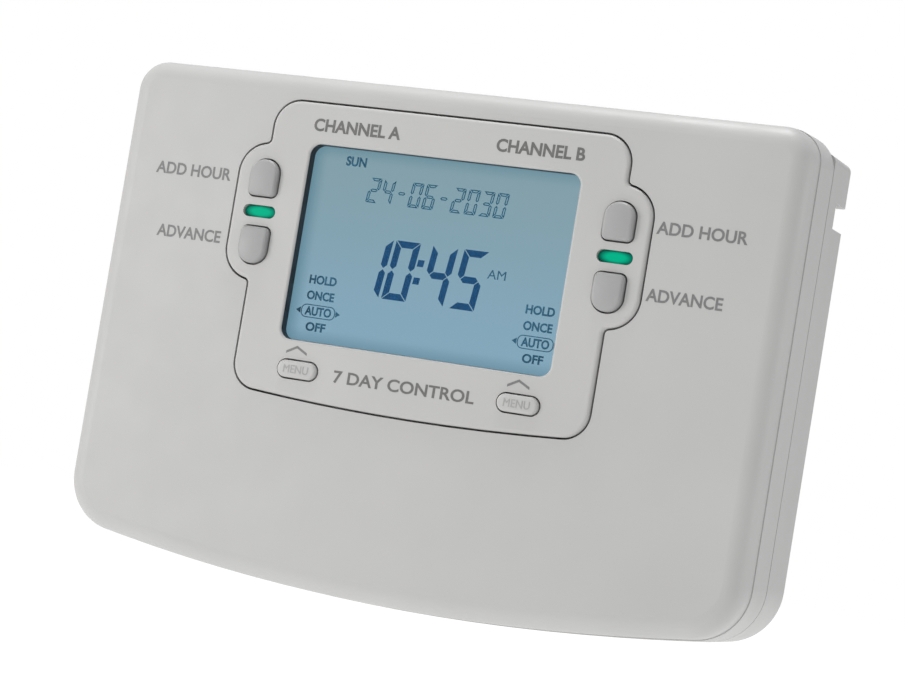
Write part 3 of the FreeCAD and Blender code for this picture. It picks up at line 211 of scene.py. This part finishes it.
def clear(name, tint, gloss_roughness, mirror_index):
    """A clear sheet: light goes straight through it, and only its outer faces mirror a little.

    Light isn't bent here, so an inner face would mirror everything when seen from the side.
    mirror_index is under the plastic's own refractive index, since the sheets have a matt coat.
    """
    s = Shader(name)
    through = s.add("ShaderNodeBsdfTransparent")
    through.inputs["Color"].default_value = (*tint, 1)
    shine = s.add("ShaderNodeBsdfGlossy")
    shine.inputs["Roughness"].default_value = gloss_roughness
    smear = s.spread(s.noise(11, 3.0), gloss_roughness * 0.7, gloss_roughness * 1.6)
    s.join(smear, shine.inputs["Roughness"])
    edge = s.add("ShaderNodeFresnel")
    edge.inputs["IOR"].default_value = mirror_index
    outer = s.math("SUBTRACT", 1.0, s.add("ShaderNodeNewGeometry").outputs["Backfacing"])
    mix = s.add("ShaderNodeMixShader")
    s.join(s.math("MULTIPLY", edge.outputs["Fac"], outer), mix.inputs["Fac"])
    s.join(through.outputs["BSDF"], mix.inputs[1])
    s.join(shine.outputs["BSDF"], mix.inputs[2])
    s.join(mix.outputs["Shader"], s.out.inputs["Surface"])
    return s


# ---------------------------------------------------------------- materials of the CAD nodes

CASE_GREY = (0.47, 0.468, 0.46)
PANEL_GREY = (0.475, 0.472, 0.462)
BUTTON_GREY = (0.335, 0.335, 0.333)
KEY_GREY = (0.2, 0.205, 0.215)
# near black: painted shade for the inner walls of the display window
WINDOW_WALL_SHADE = (0.008, 0.012, 0.018)
LIT_BRIGHT = 1.5 * MM
LIT_DIM = 3.5 * MM
LIT_FLATNESS = 2.6
# half sizes of the display film's middle, outside which its glow is darkened into painted shade
UNSHADED_HALF_WIDTH = 28.0 * MM
UNSHADED_HALF_HEIGHT = 18.3 * MM


def panel_material():
    """The fascia's plastic, with painted shade on the walls of its display window."""
    s = moulded("panel_plastic", PANEL_GREY)
    shader = next(n for n in s.tree.nodes if n.type == "BSDF_PRINCIPLED")
    lens_low, lens_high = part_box("display_lens")
    panel_low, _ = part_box("control_fascia")
    middle = (lens_low + lens_high) / 2
    margin = 0.6 * MM
    across = s.inside("X", middle.x, (lens_high.x - lens_low.x) / 2 - margin * 2, 0.02 * MM)
    up = s.inside("Z", middle.z, (lens_high.z - lens_low.z) / 2 - margin * 2, 0.02 * MM)
    rim_depth = panel_low.y + margin * 0.8
    behind = s.math("GREATER_THAN", s.axis("Y"), rim_depth)
    # painted shade: inside the window, behind its rim, the plastic is coloured near black to stand in
    # for the shadow deep in the recess
    mask = s.math("MULTIPLY", s.math("MULTIPLY", across, up), behind)
    light = shader.inputs["Base Color"].links[0].from_socket
    s.join(s.blend(mask, light, WINDOW_WALL_SHADE), shader.inputs["Base Color"])
    return s


def light_pipe_material():
    """Green acrylic, lit behind its middle and darker towards its ends."""
    s = Shader("green_light_pipe")
    low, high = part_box("light_pipe_right")
    shader = s.principled((0.0, 0.12, 0.08), 0.35, IOR=1.49, Specular_IOR_Level=0.04)
    middle = (low + high) / 2
    across = s.math("SUBTRACT", s.math("ABSOLUTE", s.axis("X")), middle.x)
    up = s.math("MULTIPLY", s.math("SUBTRACT", s.axis("Z"), middle.z), LIT_FLATNESS)
    away = s.math("SQRT", s.math("ADD", s.math("POWER", across, 2.0), s.math("POWER", up, 2.0)))
    fall = s.add("ShaderNodeMapRange", interpolation_type="SMOOTHSTEP")
    fall.inputs["From Min"].default_value = LIT_BRIGHT
    fall.inputs["From Max"].default_value = LIT_DIM
    s.join(away, fall.inputs["Value"])
    glow = s.blend(fall.outputs["Result"], (0.0, 0.33, 0.17), (0.0, 0.03, 0.02))
    s.join(glow, shader.inputs["Emission Color"])
    shader.inputs["Emission Strength"].default_value = 1.0
    s.bump(s.noise(0.5), 0.006, shader)
    return s


def reflector_material():
    """The display's blue-grey backing film: its glow, a little stronger low down, is part backlight and
    part painted light, with painted shade near its edges.
    """
    s = Shader("reflector_film")
    low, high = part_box("display_reflector")
    shader = s.principled((0.2, 0.33, 0.39), 0.6)
    # painted glow: part backlight and part painted light that makes up for light the deep recess keeps
    # from the film, a little stronger low down
    rise = s.add("ShaderNodeMapRange", interpolation_type="SMOOTHSTEP")
    rise.inputs["From Min"].default_value = low.z
    rise.inputs["From Max"].default_value = high.z
    s.join(s.axis("Z"), rise.inputs["Value"])
    glow = s.blend(rise.outputs["Result"], (0.25, 0.41, 0.52), (0.245, 0.37, 0.42))
    # painted shade: the glow falls to a darker blue near the film's edges, where the window's walls
    # shade it
    middle = (low + high) / 2
    across = s.inside("X", middle.x, UNSHADED_HALF_WIDTH, 1.7 * MM)
    up = s.inside("Z", middle.z, UNSHADED_HALF_HEIGHT, 1.9 * MM)
    glow = s.blend(s.math("MULTIPLY", across, up), (0.13, 0.26, 0.33), glow)
    s.join(glow, shader.inputs["Emission Color"])
    shader.inputs["Emission Strength"].default_value = 1.0
    cloud = s.blend(s.spread(s.noise(9, 2.0), 0, 1), (0.19, 0.335, 0.38), (0.21, 0.325, 0.4))
    s.join(cloud, shader.inputs["Base Color"])
    s.bump(s.noise(0.2), 0.004, shader)
    return s


def board_material():
    """Solder mask over copper: wide tracks show through as a lighter green."""
    s = Shader("board_laminate")
    shader = s.principled((0.012, 0.12, 0.05), 0.32, Coat_Weight=0.3)
    brick = s.add("ShaderNodeTexBrick", offset=0.37, squash=0.6)
    brick.inputs["Scale"].default_value = 1 / (9 * MM)
    brick.inputs["Mortar Size"].default_value = 0.06
    brick.inputs["Color1"].default_value = (0.012, 0.12, 0.05, 1)
    brick.inputs["Color2"].default_value = (0.009, 0.1, 0.042, 1)
    brick.inputs["Mortar"].default_value = (0.03, 0.22, 0.1, 1)
    turn = s.add("ShaderNodeMapping")
    turn.inputs["Rotation"].default_value = (math.pi / 2, 0, 0)
    s.join(s.where, turn.inputs["Vector"])
    s.join(turn.outputs["Vector"], brick.inputs["Vector"])
    s.join(brick.outputs["Color"], shader.inputs["Base Color"])
    s.bump(brick.outputs["Fac"], 0.03, shader)
    return s


MATERIALS = {
    "case_plastic": moulded("case_plastic", CASE_GREY),
    "panel_plastic": panel_material(),
    "button_plastic": moulded("button_plastic", BUTTON_GREY, 0.45, 0.3, 0.008),
    "key_plastic": moulded("key_plastic", KEY_GREY, 0.45, 0.3, 0.008),
    "clear_lens": clear("clear_lens", (0.985, 0.99, 0.992), 0.06, 1.26),
    "display_glass": clear("display_glass", (0.985, 0.99, 0.992), 0.04, 1.115),
    "reflector_film": reflector_material(),
    "light_guide": polished("light_guide", (0.8, 0.84, 0.88), 0.1, IOR=1.49),
    "emitter_body": polished("emitter_body", (0.85, 0.82, 0.6), 0.2),
    "white_plastic": moulded("white_plastic", (0.62, 0.615, 0.59), 0.5, 0.6),
    "elastomer": moulded("elastomer", (0.09, 0.085, 0.085), 0.75, 0.2),
    "green_light_pipe": light_pipe_material(),
    "board_laminate": board_material(),
    "tinned_metal": metal("tinned_metal", (0.72, 0.73, 0.74), 0.25),
    "black_plastic": moulded("black_plastic", (0.012, 0.012, 0.014), 0.42, 0.3),
    "film_capacitor": polished("film_capacitor", (0.55, 0.34, 0.03), 0.3),
    "capacitor_sleeve": polished("capacitor_sleeve", (0.01, 0.013, 0.04), 0.25),
    "varistor_coat": polished("varistor_coat", (0.02, 0.06, 0.28), 0.3),
    "resistor_coat": polished("resistor_coat", (0.3, 0.2, 0.1), 0.35),
    "cell_steel": metal("cell_steel", (0.6, 0.6, 0.61), 0.3),
    "terminal_plastic": moulded("terminal_plastic", (0.5, 0.5, 0.48), 0.5, 0.5),
    "brass": metal("brass", (0.66, 0.45, 0.14), 0.28),
    "zinc_steel": metal("zinc_steel", (0.56, 0.58, 0.6), 0.32),
    "pin_steel": metal("pin_steel", (0.45, 0.45, 0.47), 0.28, (0.05, 1, 1)),
}


def dress_nodes():
    """Gives each CAD node the material of its record's slot."""
    for row in frame["record"]["subparts"]:
        node = NODES[row["node"]]
        material = MATERIALS[row["material_slot"]].material
        if not node.material_slots:
            node.data.materials.append(material)
        for slot in node.material_slots:
            slot.material = material


# ---------------------------------------------------------------- flat shapes on a surface


def ink(name, colour, roughness=0.5, drift=0.12, gloss=0.5):
    """Printing ink or a lit segment, a little uneven in density."""
    s = Shader(name)
    shader = s.principled(colour, roughness, Specular_IOR_Level=gloss)
    patchy = s.spread(s.noise(0.6, 3.0), 0, 1)
    base = s.blend(patchy, tinted(colour, 1 - drift), tinted(colour, 1 + drift))
    s.join(base, shader.inputs["Base Color"])
    s.bump(s.noise(0.15), 0.004, shader)
    return s.material


DOME_RADIUS = 2450 * MM
CROWN_RADIUS = 60 * MM
COVER_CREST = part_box("front_cover")[0].y
PANEL_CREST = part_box("control_fascia")[0].y
INK_SUNK = 0.02 * MM
INK_PROUD = 0.03 * MM


def domed(crest):
    """The depth of a shallow domed surface at x; crest is its depth on the centre line."""
    return lambda x: crest + x * x / (2 * DOME_RADIUS)


def crowned(crest, middle):
    """The same for the crown of a small button."""
    return lambda x: crest + (x - middle) ** 2 / (2 * CROWN_RADIUS)


def flat(depth):
    """The same for a flat surface."""
    return lambda x: depth


def prisms(name, polygons, surface, body, material, proud=INK_PROUD, sunk=INK_SUNK):
    """One mesh of thin solids, each the outline of (x, z) points laid on a surface."""
    bm = bmesh.new()
    for points in polygons:
        ring = [bm.verts.new((x, surface(x) - proud, z)) for x, z in points]
        bm.faces.new(ring)
        back = [bm.verts.new((x, surface(x) + sunk, z)) for x, z in points]
        bm.faces.new(list(reversed(back)))
        for i in range(len(ring)):
            after = (i + 1) % len(ring)
            bm.faces.new((ring[after], ring[i], back[i], back[after]))
    bmesh.ops.recalc_face_normals(bm, faces=bm.faces)
    mesh = bpy.data.meshes.new(name)
    bm.to_mesh(mesh)
    bm.free()
    mesh.materials.append(material)
    piece = bpy.data.objects.new(name, mesh)
    bpy.context.scene.collection.objects.link(piece)
    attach(piece, body)


def lettering(name, words, box, surface, body, material, weight=0.0, proud=INK_PROUD):
    """Letters that fill box, which is (left, right, low, high) in mm, laid on a surface."""
    left, right, low, high = (n * MM for n in box)
    curve = bpy.data.curves.new(name, "FONT")
    curve.body = words
    curve.offset = weight
    curve.extrude = 0.5
    curve.resolution_u = 4
    source = bpy.data.objects.new(f"{name}_source", curve)
    bpy.context.scene.collection.objects.link(source)
    bpy.context.view_layer.update()
    extruded = source.evaluated_get(bpy.context.evaluated_depsgraph_get())
    mesh = bpy.data.meshes.new_from_object(extruded)
    bpy.data.objects.remove(source)
    xs = [v.co.x for v in mesh.vertices]
    ys = [v.co.y for v in mesh.vertices]
    wide, tall = max(xs) - min(xs), max(ys) - min(ys)
    foot, start = min(ys), min(xs)
    for vertex in mesh.vertices:
        x = left + (vertex.co.x - start) / wide * (right - left)
        z = low + (vertex.co.y - foot) / tall * (high - low)
        y = surface(x) + (-proud if vertex.co.z > 0 else INK_SUNK)
        vertex.co = (x, y, z)
    bm = bmesh.new()
    bm.from_mesh(mesh)
    bmesh.ops.remove_doubles(bm, verts=bm.verts, dist=0.001 * MM)
    bmesh.ops.recalc_face_normals(bm, faces=bm.faces)
    bm.to_mesh(mesh)
    bm.free()
    mesh.materials.clear()
    mesh.materials.append(material)
    piece = bpy.data.objects.new(name, mesh)
    bpy.context.scene.collection.objects.link(piece)
    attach(piece, body)


# ---------------------------------------------------------------- printed legends


def chevron(x, z):
    """An arrowhead that points up, as a bent stroke of even width."""
    reach, rise, thick = 2.2, 1.15, 0.5
    outer = [(x - reach, z - rise), (x, z), (x + reach, z - rise)]
    inner = [(px, pz - thick) for px, pz in reversed(outer)]
    return [(px * MM, pz * MM) for px, pz in outer + inner]


def add_legends():
    """Generic words printed on the panel and the cover."""
    grey = ink("legend_ink", (0.175, 0.175, 0.173))
    dark = ink("heading_ink", (0.128, 0.127, 0.123))
    panel, cover = domed(PANEL_CREST), domed(COVER_CREST)
    heading = (37.8, 40.3)
    lettering("heading_left", "CHANNEL A", (-27.8, -9.5, *heading), panel, "case", dark, 0.03)
    lettering("heading_right", "CHANNEL B", (10.2, 27.8, *heading), panel, "case", dark, 0.03)
    rows = (("hour", "ADD HOUR", 26.3, -61.0, 60.5), ("advance", "ADVANCE", 14.0, -58.5, 57.8))
    for tag, word, low, left, right in rows:
        high = low + 2.4
        lettering(f"{tag}_label_left", word, (left, -44.2, low, high), cover, "cover", grey, 0.022)
        lettering(f"{tag}_label_right", word, (43.4, right, low, high), cover, "cover", grey, 0.022)
    lettering("panel_label", "7 DAY CONTROL", (-15.0, 14.0, -9.3, -6.9), panel, "case", dark, 0.02)
    prisms("mode_arrows", [chevron(-23.5, -3.4), chevron(22.2, -3.4)], panel, "case", grey)
    add_key_legends()


def add_key_legends():
    """Small marks on the plate under the cover and raised words on the two mode buttons."""
    grey = ink("plate_ink", (0.14, 0.14, 0.15))
    key_low, key_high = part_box("program_key_1")
    key_proud, letter_wide, gap, tall = 1.6, 1.5, 0.9, 1.5
    plate = flat(key_low.y + key_proud * MM)
    foot = key_high.z / MM + gap
    words = ("SET", "DAY", "COPY", "BACK", "LESS", "MORE")
    for number, word in enumerate(words, start=1):
        low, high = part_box(f"program_key_{number}")
        middle = (low.x + high.x) / 2 / MM
        half = letter_wide / 2 * len(word)
        box = (middle - half, middle + half, foot, foot + tall)
        lettering(f"key_label_{number}", word, box, plate, "case", grey)
    knob_low, knob_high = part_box("function_knob")
    knob_z = (knob_low.z + knob_high.z) / 2 / MM
    for side, word in ((-1, "OFF"), (1, "RUN")):
        near, far = sorted((side * 9.0, side * 13.5))
        box = (near, far, knob_z - 0.8, knob_z + 0.8)
        lettering(f"knob_label_{word.lower()}", word, box, plate, "case", grey)
    raised = MATERIALS["button_plastic"].material
    for side in ("left", "right"):
        low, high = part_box(f"mode_button_{side}")
        x, z = (low.x + high.x) / 2 / MM, (low.z + high.z) / 2 / MM
        crown = crowned(low.y, x * MM)
        box = (x - 2.6, x + 2.6, z - 0.75, z + 0.75)
        body = f"mode_button_{side}_body"
        lettering(f"mode_word_{side}", "MENU", box, crown, body, raised, proud=0.05 * MM)


# ---------------------------------------------------------------- display segments

# the lit bars of each character: a is the top one, b to f follow clockwise, g is the middle one
LIT = {
    "0": "abcdef",
    "1": "bc",
    "2": "abged",
    "3": "abgcd",
    "4": "fgbc",
    "5": "afgcd",
    "6": "afgedc",
    "-": "g",
}


def segments(character, left, low, wide, tall, thick, gap):
    """The upright outlines of a seven-segment character's lit segments, in mm."""
    right, high, half = left + wide, low + tall, low + tall / 2
    t, g = thick, gap
    shapes = {
        "a": [(left + g, high), (right - g, high), (right - g - t, high - t), (left + g + t, high - t)],
        "d": [(left + g + t, low + t), (right - g - t, low + t), (right - g, low), (left + g, low)],
        "g": [
            (left + g + t / 2, half),
            (left + g + t, half + t / 2),
            (right - g - t, half + t / 2),
            (right - g - t / 2, half),
            (right - g - t, half - t / 2),
            (left + g + t, half - t / 2),
        ],
    }
    for upper, lower, edge, inner in (("f", "e", left, left + t), ("b", "c", right, right - t)):
        slope = (edge + inner) / 2
        shapes[upper] = [
            (edge, high - g),
            (inner, high - g - t),
            (inner, half + g + t / 2),
            (slope, half + g),
            (edge, half + g + t / 2),
        ]
        shapes[lower] = [
            (edge, low + g),
            (inner, low + g + t),
            (inner, half - g - t / 2),
            (slope, half - g),
            (edge, half - g - t / 2),
        ]
    return [shapes[key] for key in LIT[character]]


def leaned(points, low, slant):
    """Leans an outline to the right and turns it into metres."""
    return [((x + (z - low) * slant) * MM, z * MM) for x, z in points]


def hollow(points, width):
    """A thin frame just inside a closed outline, as one four-sided piece per edge."""
    count, sharpest = len(points), 0.35
    middle = Vector((sum(p[0] for p in points) / count, sum(p[1] for p in points) / count))
    inner = []
    for i in range(count):
        before, here, after = (Vector(points[(i + k) % count]) for k in (-1, 0, 1))
        first, second = (here - before).normalized(), (after - here).normalized()
        normals = []
        for direction in (first, second):
            normal = Vector((-direction.y, direction.x))
            normals.append(normal if normal.dot(middle - here) > 0 else -normal)
        bisector = (normals[0] + normals[1]).normalized()
        inner.append(here + bisector * width / max(sharpest, bisector.dot(normals[0])))
    return [
        [points[i], points[(i + 1) % count], tuple(inner[(i + 1) % count]), tuple(inner[i])]
        for i in range(count)
    ]


def rounded_frame(left, right, low, high, corner, width):
    """The edge pieces of a rounded rectangle's thin frame, in mm."""
    steps, points = 4, []
    for cx, cz, start in (
        (right - corner, high - corner, 0),
        (left + corner, high - corner, 90),
        (left + corner, low + corner, 180),
        (right - corner, low + corner, 270),
    ):
        for step in range(steps + 1):
            angle = math.radians(start + step * 90 / steps)
            points.append((cx + corner * math.cos(angle), cz + corner * math.sin(angle)))
    return hollow(points, width)


def add_display():
    """What the display shows, as thin pieces between its two glasses."""
    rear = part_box("display_rear_glass")[0].y
    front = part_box("display_front_glass")[1].y
    layer = flat((rear + front) / 2)
    half_gap = 0.02 * MM
    on = ink("segment_lit", (0.008, 0.075, 0.19), gloss=0.05)
    fine = ink("segment_fine", (0.02, 0.12, 0.2), gloss=0.05)
    word_ink = ink("segment_word", (0.037, 0.135, 0.22), gloss=0.05)
    thin = {"proud": half_gap, "sunk": half_gap}

    slant = 0.115
    time_low, time_wide, time_tall, stroke = 8.0, 5.1, 11.4, 1.3
    shapes = []
    for character, left in (("1", -15.7), ("0", -10.0), ("4", -2.3), ("5", 4.1)):
        shapes += segments(character, left, time_low, time_wide, time_tall, stroke, 0.12)
    for middle, z in ((-3.9, 15.6), (-3.85, 12.2)):
        corners = ((-1, -1), (1, -1), (1, 1), (-1, 1))
        shapes.append([(middle + i * stroke / 2, z + k * stroke / 2) for i, k in corners])
    prisms("time_digits", [leaned(p, time_low, slant) for p in shapes], layer, "case", on, **thin)

    date_left, date_low, date_wide, date_tall, pitch = -16.6, 25.9, 2.35, 4.8, 2.93
    shapes = []
    for place, character in enumerate("24-06-2030"):
        left = date_left + place * pitch
        for outline in segments(character, left, date_low, date_wide, date_tall, 0.62, 0.1):
            shapes += hollow(outline, 0.2)
    prisms("date_digits", [leaned(p, date_low, slant) for p in shapes], layer, "case", fine, **thin)

    def word(name, words, box, weight=0.035):
        lettering(name, words, box, layer, "case", word_ink, weight, proud=half_gap)

    word("day_word", "SUN", (-21.9, -17.6, 32.4, 34.3))
    word("half_day_word", "AM", (10.8, 14.5, 14.5, 16.2), 0.0)
    rows = (("HOLD", 9.0, 2.9), ("ONCE", 5.95, 2.9), ("AUTO", 2.9, 2.8), ("OFF", -0.1, 2.1))
    row_tall = 1.75
    for side, middle in (("left", -22.6), ("right", 22.4)):
        for text, low, half in rows:
            box = (middle - half, middle + half, low, low + row_tall)
            word(f"{text.lower()}_word_{side}", text, box)
        frame_pieces = rounded_frame(middle - 3.65, middle + 3.65, 2.45, 5.05, 1.1, 0.18)
        for direction in (-1, 1):
            base = middle + direction * 3.75
            frame_pieces.append([(base, 4.35), (base + direction * 0.95, 3.75), (base, 3.15)])
        metres = [[(x * MM, z * MM) for x, z in p] for p in frame_pieces]
        prisms(f"setting_frame_{side}", metres, layer, "case", word_ink, **thin)


# ---------------------------------------------------------------- stage, lights and camera


def add_floor():
    """A plain pale floor some way below, since the timer hangs on a wall."""
    s = Shader("pale_floor")
    matt = s.add("ShaderNodeBsdfDiffuse")
    matt.inputs["Color"].default_value = (0.9, 0.9, 0.9, 1)
    glow = s.add("ShaderNodeEmission")
    glow.inputs["Color"].default_value = (1, 1, 1, 1)
    glow.inputs["Strength"].default_value = 1.2
    mix = s.add("ShaderNodeMixShader")
    mix.inputs["Fac"].default_value = 0.8
    s.join(matt.outputs["BSDF"], mix.inputs[1])
    s.join(glow.outputs["Emission"], mix.inputs[2])
    s.join(mix.outputs["Shader"], s.out.inputs["Surface"])
    drop, reach = 0.15, 4.0
    level = CAD_BOX[0].z - drop
    mesh = bpy.data.meshes.new("floor")
    quarters = ((-1, -1), (1, -1), (1, 1), (-1, 1))
    corners = [(i * reach, k * reach, level) for i, k in quarters]
    mesh.from_pydata(corners, [], [(0, 1, 2, 3)])
    mesh.materials.append(s.material)
    floor = bpy.data.objects.new("floor", mesh)
    bpy.context.scene.collection.objects.link(floor)


def add_world():
    """White to look at, and a softer grey to be lit by, which is darker on the right."""
    world = bpy.data.worlds.new("studio")
    bpy.context.scene.world = world
    world.use_nodes = True
    nodes, links = world.node_tree.nodes, world.node_tree.links
    nodes.clear()
    out = nodes.new("ShaderNodeOutputWorld")
    seen = nodes.new("ShaderNodeBackground")
    seen.inputs["Color"].default_value = (1, 1, 1, 1)
    lit = nodes.new("ShaderNodeBackground")
    lit.inputs["Color"].default_value = (0.97, 0.985, 1.0, 1)
    towards = nodes.new("ShaderNodeSeparateXYZ")
    links.new(nodes.new("ShaderNodeTexCoord").outputs["Generated"], towards.inputs["Vector"])
    level = nodes.new("ShaderNodeMapRange")
    for key, number in (("From Min", -1.0), ("From Max", 1.0), ("To Min", 0.68), ("To Max", 0.42)):
        level.inputs[key].default_value = number
    links.new(towards.outputs["X"], level.inputs["Value"])
    links.new(level.outputs["Result"], lit.inputs["Strength"])
    path = nodes.new("ShaderNodeLightPath")
    mix = nodes.new("ShaderNodeMixShader")
    links.new(path.outputs["Is Camera Ray"], mix.inputs["Fac"])
    links.new(lit.outputs["Background"], mix.inputs[1])
    links.new(seen.outputs["Background"], mix.inputs[2])
    links.new(mix.outputs["Shader"], out.inputs["Surface"])


def add_light(name, place, size, power, colour=(1, 1, 1)):
    """A round soft light that faces the middle of the wall plate."""
    data = bpy.data.lights.new(name, "AREA")
    data.shape = "DISK"
    data.size = size
    data.energy = power
    data.color = colour
    light = bpy.data.objects.new(name, data)
    bpy.context.scene.collection.objects.link(light)
    light.location = place
    light.rotation_mode = "QUATERNION"
    light.rotation_quaternion = (-Vector(place)).to_track_quat("-Z", "Y")


def add_lights():
    add_light("key", (-0.62, -0.62, 0.05), 0.35, 2.5, (1.0, 0.985, 0.97))
    add_light("top", (-0.1, -0.05, 1.2), 0.4, 10.5)
    add_light("side", (1.3, 0.35, 0.15), 0.7, 2.3)


def add_camera():
    """The camera stands to the right of the timer and a little low, and is rolled."""
    yaw, pitch, roll = (math.radians(a) for a in (22.78, 2.33, 9.4))
    turn = Matrix.Rotation(yaw, 4, "Z") @ Matrix.Rotation(math.pi / 2 + pitch, 4, "X")
    data = bpy.data.cameras.new("camera")
    data.sensor_width = 36.0
    data.lens = 99.45
    data.clip_start = 0.01
    data.clip_end = 50.0
    camera = bpy.data.objects.new("camera", data)
    bpy.context.scene.collection.objects.link(camera)
    place = Matrix.Translation((187.27 * MM, -456.3 * MM, -18.6 * MM))
    camera.matrix_world = place @ turn @ Matrix.Rotation(roll, 4, "Z")
    bpy.context.scene.camera = camera


add_camera()
add_world()
add_lights()
add_floor()
dress_nodes()
add_legends()
add_display()
bpy.context.scene.view_settings.view_transform = "Standard"
